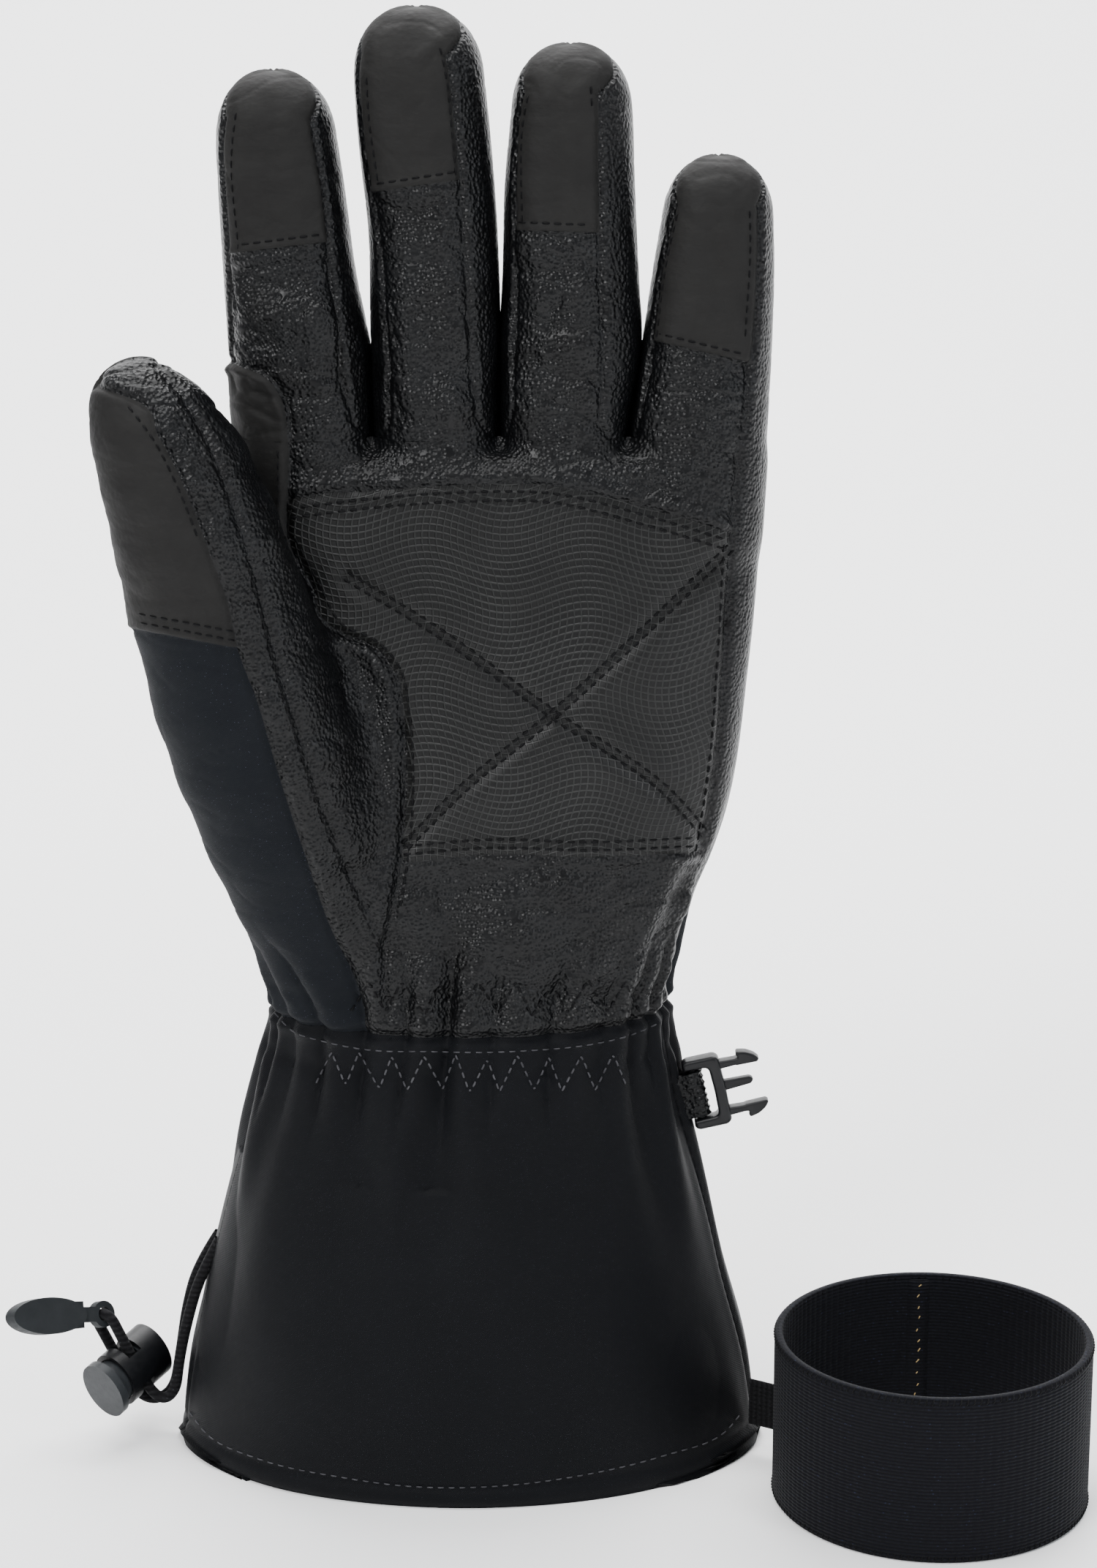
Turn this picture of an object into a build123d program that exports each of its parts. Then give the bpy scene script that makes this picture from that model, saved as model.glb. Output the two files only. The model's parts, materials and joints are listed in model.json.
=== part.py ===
from build123d import *
import os
from math import cos, pi, radians, sin, sqrt, tan

# Left-hand insulated ski glove, standing on the hem of its cuff. Millimetres.
# Origin: centre of the cuff mouth. +Z towards the fingers, palm towards -Y, thumb towards -X.

# ---- driving dimensions ----
SKIN = 1.2  # leather and softshell
LINING = 2.4  # insulation, membrane and pile in the digits
GAP = 0.35  # running clearance between moving bodies
FINGER_BASE_CUT = 8.0  # how far the open base reaches below the hinge
FRONT_ARC = 96.0  # palm-side panel of a finger, degrees
SIDE_ARC = 84.0  # each side wall
WRIST_Z = 104.0
CUFF_TOP = WRIST_Z - 0.02  # the cuff meets the hand with a hair's clearance
HAND_TOP_Z = 225.0
SIDE_SEAM_Y = -6.0  # front and back of the cuff meet on this plane

# name: hinge (x, y, z), tilt from vertical, radius at the hinge, radius near the tip,
# length from the hinge to the tip, height of the cap's lower edge above the hinge
FINGERS = {
    "index": ((-35.5, 0, 236), -4.2, 14.9, 12.6, 71.5, 39.0),
    "middle": ((-6.4, 0, 236), -2.4, 13.8, 13.2, 84.3, 51.5),
    "ring": ((20.9, 0, 236), 1.2, 13.2, 12.4, 76.6, 41.5),
    "little": ((48.6, 0, 231.5), 5.2, 14.2, 11.6, 58.3, 21.5),
}
THUMB_HINGE = Vector(-57.0, -23.5, 210.5)
THUMB_AXIS = Vector(-8.6, -3.4, 28.0).normalized()
THUMB_R, THUMB_TIP_R, THUMB_LENGTH = 16.2, 12.4, 41.5
THUMB_BASE_CUT = 9.0
THUMB_RELIEF = 0.76  # share of the ball's radius cut away below the hinge
THUMB_CAP_LOW = -4.0  # height of the thumb cap's lower edge above the hinge

# palm and back of the hand: z, left x, right x, depth
HAND = [
    (WRIST_Z, -43.3, 43.4, 54.0),
    (125.0, -44.0, 48.0, 50.0),
    (150.0, -45.2, 56.4, 45.0),
    (180.0, -47.5, 60.4, 39.0),
    (205.0, -49.6, 62.4, 33.0),
    (HAND_TOP_Z, -50.2, 63.2, 29.0),
]
INSULATION = SKIN + 2.2  # depth of the inner face of the hand's insulation
HAND_LINING = SKIN + 3.4  # depth of the inner face of the hand's lining
PATCH_T = 0.8  # grip patch
# seams round the base of the thumb, seen from the palm side: x, z
GUSSET_EDGE = [
    (-90, 215),
    (-37, 215),
    (-20, 186),
    (-13.5, 168),
    (-13.5, 140),
    (-17, 124),
    (-17, 100),
    (-90, 100),
]
SOFTSHELL_EDGE = [
    (-90, 215),
    (-55, 215),
    (-49, 192),
    (-44.5, 178),
    (-35, 144),
    (-24, 112),
    (-23, 100),
    (-90, 100),
]
# base of the thumb: z, centre x, centre y, half width, half depth
THENAR = [
    (106.0, -22.0, -8.0, 16.0, 15.0),
    (124.0, -28.0, -12.0, 18.5, 17.5),
    (145.0, -37.0, -16.5, 19.5, 18.5),
    (163.0, -43.5, -19.0, 19.0, 18.5),
    (182.0, -49.0, -20.5, 18.2, 17.6),
    (200.0, -53.8, -22.2, 16.6, 16.4),
]
# cuff: z, centre x, half width, half depth
CUFF = [
    (0.0, -0.6, 65.8, 42.0),
    (22.0, -1.2, 63.0, 39.6),
    (45.0, -2.0, 57.4, 36.4),
    (70.0, -2.0, 51.0, 32.4),
    (90.0, -0.6, 46.0, 29.0),
    (WRIST_Z, 0.0, 43.4, 27.0),
]

# drawcord: the free loop leaves the cuff's side seam, passes the lock twice and folds at the pull tab
CORD_D = 2.5
CORD_ROOM = 0.3  # clearance round the cord in the side of the cuff
LOCK_C = Vector(-78.5, -2.0, 15.8)
LOCK_UP = Vector(-0.42, 0.0, 0.9075).normalized()  # the strands run this way through the lock
LOCK_OUT = Vector(0.56, 0.78, 0.26)  # towards the lock's far end, before squaring
TAB_ALONG = Vector(-1.0, -0.94, 0.36)  # from the fold of the cord to the tip of the pull tab

# leash band and its strap
BAND_C = (101.9, -33.0)
BAND_R, BAND_T, BAND_H = 35.0, 1.8, 38.0
STRAP_W, STRAP_T = 10.0, 1.6
LEASH_PIVOT = (64.0, -10.0)  # where the strap is sewn to the hem

# side-release buckle, male half
BUCKLE_C = Vector(52.8, -3.0, 83.4)
BUCKLE_TILT = 13.0

OUT = "parts"
os.makedirs(OUT, exist_ok=True)
parts = {}


def keep(name, shape):
    """Record one node; a node may hold several separate solids."""
    solids = shape.solids() if hasattr(shape, "solids") else [s for x in shape for s in x.solids()]
    node = solids[0] if len(solids) == 1 else Compound(children=list(solids))
    node.label = name
    parts[name] = node


def biggest(shape):
    return max(shape.solids(), key=lambda s: s.volume)


def upright(edges):
    """A face drawn in x and z."""
    return Plane.XZ.location * make_face(edges)


def towards_palm(face):
    """A block that reaches from the middle of the glove out past the palm."""
    return extrude(face, amount=80, dir=(0, -1, 0))


# ---- digits ----
def digit_side(r, tip_r, length, cut, off):
    """Half outline, from the open base over the ball of the hinge and up to the tip."""
    ball, top = r - off, tip_r - off
    start = (sqrt(ball**2 - cut**2), -cut)
    half = radians(-20)
    shoulder = length - tip_r
    crown = top * cos(radians(45))
    line = [
        ThreePointArc(start, (ball * cos(half), ball * sin(half)), (ball, 0)),
        Line((ball, 0), (top, shoulder)),
        ThreePointArc((top, shoulder), (crown, shoulder + crown), (0, shoulder + top)),
    ]
    return line, start, (0, shoulder + top)


def digit_face(r, tip_r, length, cut, off_out, off_in):
    """Cross-section of one layer of a digit, between two offsets from the outer surface."""
    outer, out_start, out_end = digit_side(r, tip_r, length, cut, off_out)
    inner, in_start, in_end = digit_side(r, tip_r, length, cut, off_in)
    edges = outer + inner + [Line(out_start, in_start), Line(out_end, in_end)]
    return upright(edges)


def sector(face, start, arc):
    return revolve(face, axis=Axis.Z, revolution_arc=arc).rotate(Axis.Z, start)


def slab(z_low, z_high, size=300.0):
    return Pos(0, 0, (z_low + z_high) / 2) * Box(size, size, z_high - z_low)


def finger(name):
    hinge, tilt, r, tip_r, length, cap = FINGERS[name]
    place = Pos(*hinge) * Rot(0, tilt, 0)
    skin = digit_face(r, tip_r, length, FINGER_BASE_CUT, 0, SKIN)
    front = sector(skin, -90 - FRONT_ARC / 2, FRONT_ARC)
    keep(f"{name}_cap", place * (front & slab(cap, length + 5)))
    keep(f"{name}_front_panel", place * (front & slab(-20, cap)))
    sides = [sector(skin, start, SIDE_ARC) for start in (-90 + FRONT_ARC / 2, -90 - FRONT_ARC / 2 - SIDE_ARC)]
    keep(f"{name}_side_walls", [place * side for side in sides])
    keep(f"{name}_back_panel", place * sector(skin, -90 + FRONT_ARC / 2 + SIDE_ARC, FRONT_ARC))
    lining = digit_face(r, tip_r, length, FINGER_BASE_CUT, SKIN, SKIN + LINING)
    keep(f"{name}_lining", place * revolve(lining, axis=Axis.Z))


def thumb_place():
    return Plane(origin=THUMB_HINGE, x_dir=(1, 0, 0.3), z_dir=THUMB_AXIS).location


def thumb():
    """Strip between two long seams, pad leather inside it, cap and softshell on the outer side."""
    place = thumb_place()
    size = (THUMB_R, THUMB_TIP_R, THUMB_LENGTH, THUMB_BASE_CUT)
    skin = digit_face(*size, 0, SKIN)
    strip_from, strip_to, pad_to = 200.0, 250.0, 360.0
    outer = sector(skin, 0, strip_from)
    seam = THUMB_CAP_LOW
    keep("thumb_cap", place * (outer & slab(seam, THUMB_LENGTH + 5)))
    keep("thumb_back_panel", place * (outer & slab(-20, seam)))
    keep("thumb_strip", place * sector(skin, strip_from, strip_to - strip_from))
    keep("thumb_pad", place * sector(skin, strip_to, pad_to - strip_to))
    lining = digit_face(*size, SKIN, SKIN + LINING)
    keep("thumb_lining", place * revolve(lining, axis=Axis.Z))


# ---- hand ----
def hand_loft(off):
    faces = []
    for z, left, right, depth in HAND:
        wide, deep = right - left - 2 * off, depth - 2 * off
        face = RectangleRounded(wide, deep, deep / 2 - 0.4)
        faces.append(Pos((left + right) / 2, 0, z) * face)
    return loft(faces)


def thenar_loft(off):
    return loft([Pos(x, y, z) * Ellipse(rx - off, ry - off) for z, x, y, rx, ry in THENAR])


def hand_body(off):
    return hand_loft(off) + thenar_loft(off)


def hinge_room():
    """Room for the balls at the bases of the digits over their whole travel."""
    room = [Pos(*hinge) * Sphere(r + GAP) for hinge, _, r, _, _, _ in FINGERS.values()]
    room.append(Pos(*THUMB_HINGE) * Sphere(THUMB_R + GAP))
    above = Plane(origin=THUMB_HINGE - THUMB_RELIEF * THUMB_R * THUMB_AXIS, z_dir=THUMB_AXIS).location
    room.append(above * Pos(0, 0, 40) * Cylinder(THUMB_R + GAP, 80))
    lean = thumb_place() * Pos(0, 0, (THUMB_LENGTH - THUMB_TIP_R) / 2)
    room.append(lean * Cone(THUMB_R + GAP, THUMB_TIP_R + GAP, THUMB_LENGTH - THUMB_TIP_R))
    little = FINGERS["little"][0]
    room.append(Pos(little[0] + 36, 0, HAND_TOP_Z + 6) * Box(102, 80, 21))
    return room


def patch_outline():
    """Grip patch as seen from the palm side: x, z."""
    top = Spline([(-34, 219.0), (0, 223.4), (30, 221.6), (56, 213.5)])
    right = Spline([(56, 213.5), (55, 188), (51, 143)])
    bottom = Line((51, 143), (-13, 142))
    left = Spline([(-13, 142), (-13, 163), (-20, 181), (-29, 201), (-34, 219.0)])
    return upright([top, right, bottom, left])


def hand():
    room = hinge_room()
    solid = {off: hand_body(off) for off in (0, SKIN, INSULATION, HAND_LINING)}

    def layer(out, inside):
        shell = solid[out] - solid[inside]
        for piece in room:
            shell = shell - piece
        return shell

    skin = layer(0, SKIN)
    front = skin & (Pos(0, -60, 160) * Box(300, 120, 200))
    back = skin & (Pos(0, 60, 160) * Box(300, 120, 200))
    gusset_block = towards_palm(upright(Polyline(*GUSSET_EDGE, close=True).edges()))
    softshell_block = towards_palm(upright(Polyline(*SOFTSHELL_EDGE, close=True).edges()))
    web = Pos(-50, -10, 216) * Box(26, 26, 18)
    thumb_base = front & gusset_block
    keep("thumb_base_softshell", [biggest(thumb_base & softshell_block)])
    keep("thumb_base_leather", [biggest(thumb_base - softshell_block)])
    keep("palm_leather", [biggest((front - gusset_block) - web)])
    keep("crotch_patch", [biggest((front - gusset_block) & web)])
    keep("backhand_panel", [biggest(back)])
    keep("hand_insulation", [biggest(layer(SKIN, INSULATION))])
    keep("hand_lining", [biggest(layer(INSULATION, HAND_LINING))])
    patch = (hand_loft(-PATCH_T) - solid[0]) & towards_palm(patch_outline())
    for piece in room:
        patch = patch - piece
    keep("palm_grip_patch", [biggest(patch)])


# ---- cuff ----
def cuff_loft(off):
    return loft([Pos(x, 0, z) * Ellipse(rx - off, ry - off) for z, x, rx, ry in CUFF])


def ring(off_out, off_in, low, high):
    """A layer of the cuff between two heights."""
    between = slab(low, high)
    return (cuff_loft(off_out) & between) - (cuff_loft(off_in) & between)


def cuff():
    front_half = Pos(0, -100 + SIDE_SEAM_Y, 50) * Box(300, 200, 200)
    shell = ring(0, SKIN, 0, CUFF_TOP)
    holes = cord_holes()
    shell = shell - holes[0] - holes[1]
    keep("cuff_front", [biggest(shell & front_half)])
    keep("cuff_back", [biggest(shell - front_half)])
    keep("hem_facing", ring(SKIN, SKIN + 0.9, 0, 11))
    keep("drawcord_channel", ring(SKIN, SKIN + 0.7, 38, 50) - holes[0] - holes[1])
    keep("drawcord_inner_run", ring(SKIN + 0.75, SKIN + 2.8, 42.9, 45.1))
    keep("wrist_elastic", ring(SKIN, SKIN + 1.1, 80, 103))
    keep("cuff_lining", ring(SKIN + 3.0, SKIN + 4.0, 1.5, CUFF_TOP))


# ---- drawcord, lock and pull tab ----
# One loop of elastic cord, by its corner points: down from the upper exit, round below the lock,
# up through it, folded in the pull tab's eye, and the same way back.
DRAWCORD = [
    (-57.8, 4.0, 46.6),
    (-62.8, 4.0, 38.8),
    (-65.6, 3.4, 28.8),
    (-67.1, 2.0, 18.4),
    (-68.9, 0.5, 8.0),
    (-76.6, -0.4, 6.8),
    (-83.7, -0.4, 22.2),
    (-86.6, -0.3, 28.0),
    (-82.6, -3.8, 30.0),
    (-80.0, -3.6, 24.0),
    (-72.9, -3.6, 8.5),
    (-67.9, -5.4, 10.6),
    (-66.8, -5.2, 19.6),
    (-64.6, -4.6, 29.4),
    (-61.6, -4.0, 39.4),
    (-57.0, -3.6, 48.0),
]


def cord_holes():
    """Holes in the side of the cuff, in line with the cord's two ends."""
    holes = []
    for inner, outer in ((DRAWCORD[0], DRAWCORD[1]), (DRAWCORD[-1], DRAWCORD[-2])):
        line = Plane(origin=inner, z_dir=Vector(*outer) - Vector(*inner)).location
        holes.append(line * Pos(0, 0, 3) * Cylinder(CORD_D / 2 + CORD_ROOM, 14))
    return holes


def cord_radii(points):
    """The largest arc each corner has room for: 0.45 of the shorter run."""
    radii = []
    for a, b, c in zip(points, points[1:], points[2:]):
        u, v = Vector(*b) - Vector(*a), Vector(*c) - Vector(*b)
        turn = u.get_angle(v)
        radii.append(0.45 * min(u.length, v.length) / tan(radians(turn) / 2))
    return radii


def drawcord():
    radii = cord_radii(DRAWCORD)
    path = FilletPolyline(*DRAWCORD, radius=radii)
    start = Plane(origin=path @ 0, z_dir=path % 0)
    tube = sweep(start * Circle(CORD_D / 2), path=path)
    keep("drawcord", tube)
    section = pi * (CORD_D / 2) ** 2
    print("drawcord radii", [round(r, 1) for r in radii])
    ratio = tube.volume / (section * path.length)
    print("drawcord length", round(path.length, 1), "volume ratio", round(ratio, 4))


def lock_frame():
    side = LOCK_OUT.cross(LOCK_UP).normalized()
    out = LOCK_UP.cross(side).normalized()
    return Plane(origin=LOCK_C, x_dir=LOCK_UP, z_dir=out)


LOCK_HALF_UP, LOCK_HALF_SIDE = 6.6, 5.4
LOCK_FACE, LOCK_END = -5.0, 8.0  # the barrel's ends along its axis, with the strands at 0
LOCK_WALL = 1.0
SLOT_WIDTH, SLOT_HEIGHT = 8.3, 3.4
SLOT_ROOM = 0.7  # the barrel's slot is this much larger than the plunger's
PLUNGER_TRAVEL = 2.5
STEM_TOP = 2.7


def oval(half_up, half_side, low, high):
    """Straight oval block along the lock's axis."""
    return Pos(0, 0, low) * extrude(Ellipse(half_up, half_side), amount=high - low)


def cord_lock():
    """Barrel with a cross hole for both strands, a sprung plunger with its oval cap, and the spring."""
    place = lock_frame().location
    barrel = oval(LOCK_HALF_UP, LOCK_HALF_SIDE, LOCK_FACE, LOCK_END)
    bore = oval(LOCK_HALF_UP - 1.2, LOCK_HALF_SIDE - 0.75, LOCK_FACE - 1, LOCK_END - LOCK_WALL)
    slot = Box(40, SLOT_WIDTH + SLOT_ROOM, SLOT_HEIGHT + SLOT_ROOM)
    keep("cord_lock_body", place * (barrel - bore - slot))
    cap_low, cap_high = LOCK_FACE - PLUNGER_TRAVEL - 2.0, LOCK_FACE - PLUNGER_TRAVEL
    cap = oval(LOCK_HALF_UP + 0.2, LOCK_HALF_SIDE + 0.1, cap_low, cap_high)
    stem = oval(LOCK_HALF_UP - 1.5, LOCK_HALF_SIDE - 1.05, cap_high, STEM_TOP)
    window_low, window_high = -SLOT_HEIGHT / 2 - PLUNGER_TRAVEL + 0.2, SLOT_HEIGHT / 2
    window = Pos(0, 0, (window_low + window_high) / 2) * Box(40, SLOT_WIDTH, window_high - window_low)
    keep("cord_lock_plunger", place * (cap + (stem - window)))
    spring_low, spring_high = STEM_TOP, LOCK_END - LOCK_WALL
    height = spring_high - spring_low
    spring = Pos(0, 0, (spring_low + spring_high) / 2) * (Cylinder(2.6, height) - Cylinder(2.1, height + 1))
    keep("cord_lock_spring", place * spring)


def pull_tab():
    """Rubber tab on the fold of the cord: an eye round the cord, a neck and a flat oval grip."""
    eye = (Vector(*DRAWCORD[7]) + Vector(*DRAWCORD[8])) * 0.5
    along = TAB_ALONG.normalized()
    fold = (Vector(*DRAWCORD[8]) - Vector(*DRAWCORD[7])).normalized()
    frame = Plane(origin=eye, x_dir=along - fold * along.dot(fold), z_dir=fold)
    ring_ = Cylinder(3.0, 2.2) - Cylinder(1.65, 3)
    neck = Pos(4.6, 0, 0) * Box(5.2, 3.4, 2.2)
    grip = Pos(15.6, 0, 0) * extrude(Ellipse(10.2, 4.1), amount=1.7, both=True)
    shoulder = Pos(7.4, 0, 0) * Box(2.6, 6.0, 2.8)
    keep("pull_tab", frame.location * (ring_ + neck + shoulder + grip))


# ---- buckle ----
# u runs from the bar to the prongs, v across the webbing
BAR_U, BAR_R = -2.2, 1.1
PRONG_U, PRONG_V = 4.9, 5.6  # root of a prong
PRONG_HALF_W, PRONG_HALF_T = 0.95, 1.5
FRAME_L, FRAME_W, FRAME_HALF_T = 8.4, 16.4, 2.2
WINDOW_W = 11.6
TAB_W, TAB_T = 10.4, 1.0  # leather loop
TAB_ROOM = 0.3  # clearance of the loop round the bar
TAB_REACH = 6.4


def buckle_frame_plane():
    t = radians(BUCKLE_TILT)
    return Plane(origin=BUCKLE_C, x_dir=(cos(t), 0, sin(t)), z_dir=(0, -1, 0))


def prong_barb(sign):
    """The hooked end of one prong; sign is 1 for the upper prong."""
    corners = [(3.6, 2.3), (5.8, 2.0), (8.2, -0.2), (7.6, -PRONG_HALF_W), (3.6, -PRONG_HALF_W)]
    points = [(PRONG_U + u, sign * (PRONG_V + v)) for u, v in corners]
    return extrude(make_face(Polyline(*points, close=True).edges()), amount=PRONG_HALF_T, both=True)


def buckle():
    place = buckle_frame_plane().location
    outer = extrude(RectangleRounded(FRAME_L, FRAME_W, 1.6), amount=FRAME_HALF_T, both=True)
    window = Pos(-0.7, 0, 0) * extrude(RectangleRounded(7.0, WINDOW_W, 0.4), amount=5, both=True)
    opening = Pos(-FRAME_L / 2, 0, 0) * Box(3.0, WINDOW_W, 10)
    at_bar = Pos(BAR_U, 0, 0)
    bar = at_bar * Rot(90, 0, 0) * Cylinder(BAR_R, 14)
    guide = Pos(7.2, 0.5, 0) * extrude(RectangleRounded(7.6, 1.9, 0.5), amount=1.0, both=True)
    keep("buckle_frame", place * ((outer - window - opening) + bar + guide))
    for name, sign in (("upper", 1), ("lower", -1)):
        root = Pos(PRONG_U + 0.35, sign * PRONG_V, 0) * Cylinder(PRONG_HALF_W, 2 * PRONG_HALF_T)
        arm = Pos(PRONG_U + 2.4, sign * PRONG_V, 0) * Box(4.2, 2 * PRONG_HALF_W, 2 * PRONG_HALF_T)
        keep(f"buckle_prong_{name}", place * (root + arm + prong_barb(sign)))
    # leather loop round the bar, its end sewn to the side of the cuff
    loop_r = BAR_R + TAB_ROOM
    outer_r = loop_r + TAB_T
    tail = Pos(-TAB_REACH / 2, 0, 0) * Box(TAB_REACH, 2 * outer_r, TAB_W)
    hollow = Pos(-1.6, 0, 0) * Box(3.2, 2 * loop_r, TAB_W + 2)
    outside = Cylinder(outer_r, TAB_W) + tail
    inside = Cylinder(loop_r, TAB_W + 2) + hollow
    loop = Rot(90, 0, 0) * (at_bar * (outside - inside))
    keep("buckle_tab", (place * loop) - cuff_loft(0))


# ---- leash ----
def leash():
    centre = Pos(BAND_C[0], BAND_C[1], BAND_H / 2)
    inner = BAND_R - BAND_T
    band = Cylinder(BAND_R, BAND_H) - Cylinder(inner, BAND_H + 2)
    # the ends of the elastic overlap in a flat seam at the back, flush with the inside
    seam_skin = Cylinder(inner + 0.8, BAND_H - 2) - Cylinder(inner, BAND_H + 2)
    seam = seam_skin & (Pos(0, BAND_R, 0) * Box(6.0, 20, BAND_H))
    keep("leash_band", centre * (band - seam))
    keep("leash_band_seam", centre * seam)
    pivot = Vector(LEASH_PIVOT[0], LEASH_PIVOT[1], 0)
    centre_line = Vector(BAND_C[0], BAND_C[1], 0) - pivot
    reach = centre_line.length
    frame = Plane(origin=(pivot.X, pivot.Y, 11.5), x_dir=centre_line.normalized(), z_dir=(0, 0, 1))
    strap = Pos(reach / 2, 0, 0) * Box(reach, STRAP_T, STRAP_W)
    strap = strap + Cylinder(STRAP_T / 2, STRAP_W) - Pos(reach, 0, 0) * Cylinder(BAND_R + 0.05, 60)
    keep("leash_strap", frame.location * biggest(strap))


for finger_name in FINGERS:
    finger(finger_name)
thumb()
hand()
cuff()
drawcord()
cord_lock()
pull_tab()
buckle()
leash()

for node_name, node in parts.items():
    export_step(node, f"{OUT}/{node_name}.step")
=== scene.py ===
import json
from math import cos, pi, radians, sin, tau

import bpy
import numpy as np
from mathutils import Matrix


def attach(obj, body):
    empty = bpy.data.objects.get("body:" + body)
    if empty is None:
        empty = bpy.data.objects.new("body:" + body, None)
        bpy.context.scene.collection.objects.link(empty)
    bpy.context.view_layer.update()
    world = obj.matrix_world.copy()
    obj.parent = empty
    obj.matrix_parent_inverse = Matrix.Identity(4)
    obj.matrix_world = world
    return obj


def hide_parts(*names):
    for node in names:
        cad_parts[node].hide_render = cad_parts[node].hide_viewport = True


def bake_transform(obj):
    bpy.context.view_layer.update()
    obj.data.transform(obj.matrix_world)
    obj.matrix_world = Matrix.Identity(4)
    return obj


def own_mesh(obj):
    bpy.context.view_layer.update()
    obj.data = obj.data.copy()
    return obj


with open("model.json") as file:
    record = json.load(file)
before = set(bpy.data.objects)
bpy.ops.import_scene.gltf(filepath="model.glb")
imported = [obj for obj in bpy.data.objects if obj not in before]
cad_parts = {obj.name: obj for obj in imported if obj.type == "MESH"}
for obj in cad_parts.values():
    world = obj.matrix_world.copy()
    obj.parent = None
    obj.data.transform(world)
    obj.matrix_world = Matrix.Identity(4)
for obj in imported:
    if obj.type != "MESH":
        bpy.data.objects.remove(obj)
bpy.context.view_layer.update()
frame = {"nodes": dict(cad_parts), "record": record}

import openvdb
from mathutils import Matrix, Vector
from mathutils.bvhtree import BVHTree

# A left-hand insulated ski glove, palm towards the camera. Lengths in this file are millimetres,
# turned into metres where an object is made; +Z towards the fingers, palm towards -Y.
MM = 0.001
FINE = 0.75  # mesh size of the hand and cuff
FINER = 0.6  # mesh size of the digits

# ---- camera ----
EYE = Vector((17.4, -772.74, 360.76))
camera_data = bpy.data.cameras.new("camera")
camera_data.lens = 83.54
camera_data.sensor_width = 36
camera = bpy.data.objects.new("camera", camera_data)
camera.location = EYE * MM
camera.rotation_euler = (radians(75), 0, 0)
bpy.context.scene.collection.objects.link(camera)
bpy.context.scene.camera = camera


# ---- materials ----
class Look:
    """A material and short calls for its nodes."""

    def __init__(self, name, colour, roughness, **settings):
        self.material = bpy.data.materials.new(name)
        self.material.use_nodes = True
        self.tree = self.material.node_tree
        self.shader = self.tree.nodes["Principled BSDF"]
        self.shader.inputs["Base Color"].default_value = (*colour, 1)
        self.shader.inputs["Roughness"].default_value = roughness
        for key, value in settings.items():
            self.shader.inputs[key.replace("_", " ")].default_value = value
        self.place = self.node("ShaderNodeTexCoord").outputs["Object"]

    def node(self, kind, links=None, **settings):
        made = self.tree.nodes.new(kind)
        for key, value in settings.items():
            if hasattr(made, key):
                setattr(made, key, value)
            else:
                made.inputs[key.replace("_", " ")].default_value = value
        for key, source in (links or {}).items():
            self.tree.links.new(source, made.inputs[key])
        return made

    def noise(self, size, detail=3.0, place=None):
        """Noise with features about this many millimetres across."""
        links = {"Vector": place or self.place}
        made = self.node("ShaderNodeTexNoise", links, Scale=1000 / size, Detail=detail)
        return made.outputs["Fac"]

    def cells(self, size, feature="F1", place=None, randomness=1.0):
        made = self.node("ShaderNodeTexVoronoi", {"Vector": place or self.place}, feature=feature)
        made.inputs["Scale"].default_value = 1000 / size
        made.inputs["Randomness"].default_value = randomness
        return made.outputs["Distance"]

    def stretch(self, x, y, z):
        return self.node("ShaderNodeMapping", {"Vector": self.place}, Scale=(x, y, z)).outputs["Vector"]

    def math(self, operation, first, second=0.0, third=0.0):
        made = self.node("ShaderNodeMath", operation=operation)
        for socket, value in zip(made.inputs, (first, second, third)):
            if isinstance(value, (int, float)):
                socket.default_value = value
            else:
                self.tree.links.new(value, socket)
        return made.outputs["Value"]

    def span(self, value, low, high, to_low=0.0, to_high=1.0):
        made = self.node("ShaderNodeMapRange", {"Value": value})
        for key, number in (("From Min", low), ("From Max", high), ("To Min", to_low), ("To Max", to_high)):
            made.inputs[key].default_value = number
        return made.outputs["Result"]

    def colours(self, value, stops):
        ramp = self.node("ShaderNodeValToRGB", {"Fac": value})
        elements = ramp.color_ramp.elements
        while len(elements) < len(stops):
            elements.new(0.5)
        for element, (position, colour) in zip(elements, stops):
            element.position = position
            element.color = (*colour, 1)
        return ramp.outputs["Color"]

    def paint(self, value, stops):
        self.tree.links.new(self.colours(value, stops), self.shader.inputs["Base Color"])

    def gloss(self, value):
        self.tree.links.new(value, self.shader.inputs["Roughness"])

    def bump(self, height, depth, strength=1.0, under=None):
        """Raise the surface by up to this many millimetres."""
        links = {"Height": height}
        if under:
            links["Normal"] = under
        made = self.node("ShaderNodeBump", links, Distance=depth * MM, Strength=strength)
        self.tree.links.new(made.outputs["Normal"], self.shader.inputs["Normal"])
        return made.outputs["Normal"]


def leather(name, dark, pale, rough_low, rough_high, shine, pebble=1.0, depth=0.16, crease=0.12):
    """Full-grain leather: fine pebbles, finer creases between them, and softer patches of gloss."""
    look = Look(name, dark, rough_high, Specular_IOR_Level=shine)
    patches = look.noise(9, 4)
    look.paint(patches, [(0.3, dark), (0.75, pale)])
    look.gloss(look.span(look.noise(5, 5), 0.3, 0.7, rough_low, rough_high))
    grain = look.cells(pebble)
    fold = look.span(look.noise(4.5, 4, look.stretch(0.7, 0.7, 1.5)), 0.3, 0.7)
    first = look.bump(fold, crease, 0.7)
    look.bump(look.span(grain, 0.0, 0.7), depth, 0.9, first)
    return look.material


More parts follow.
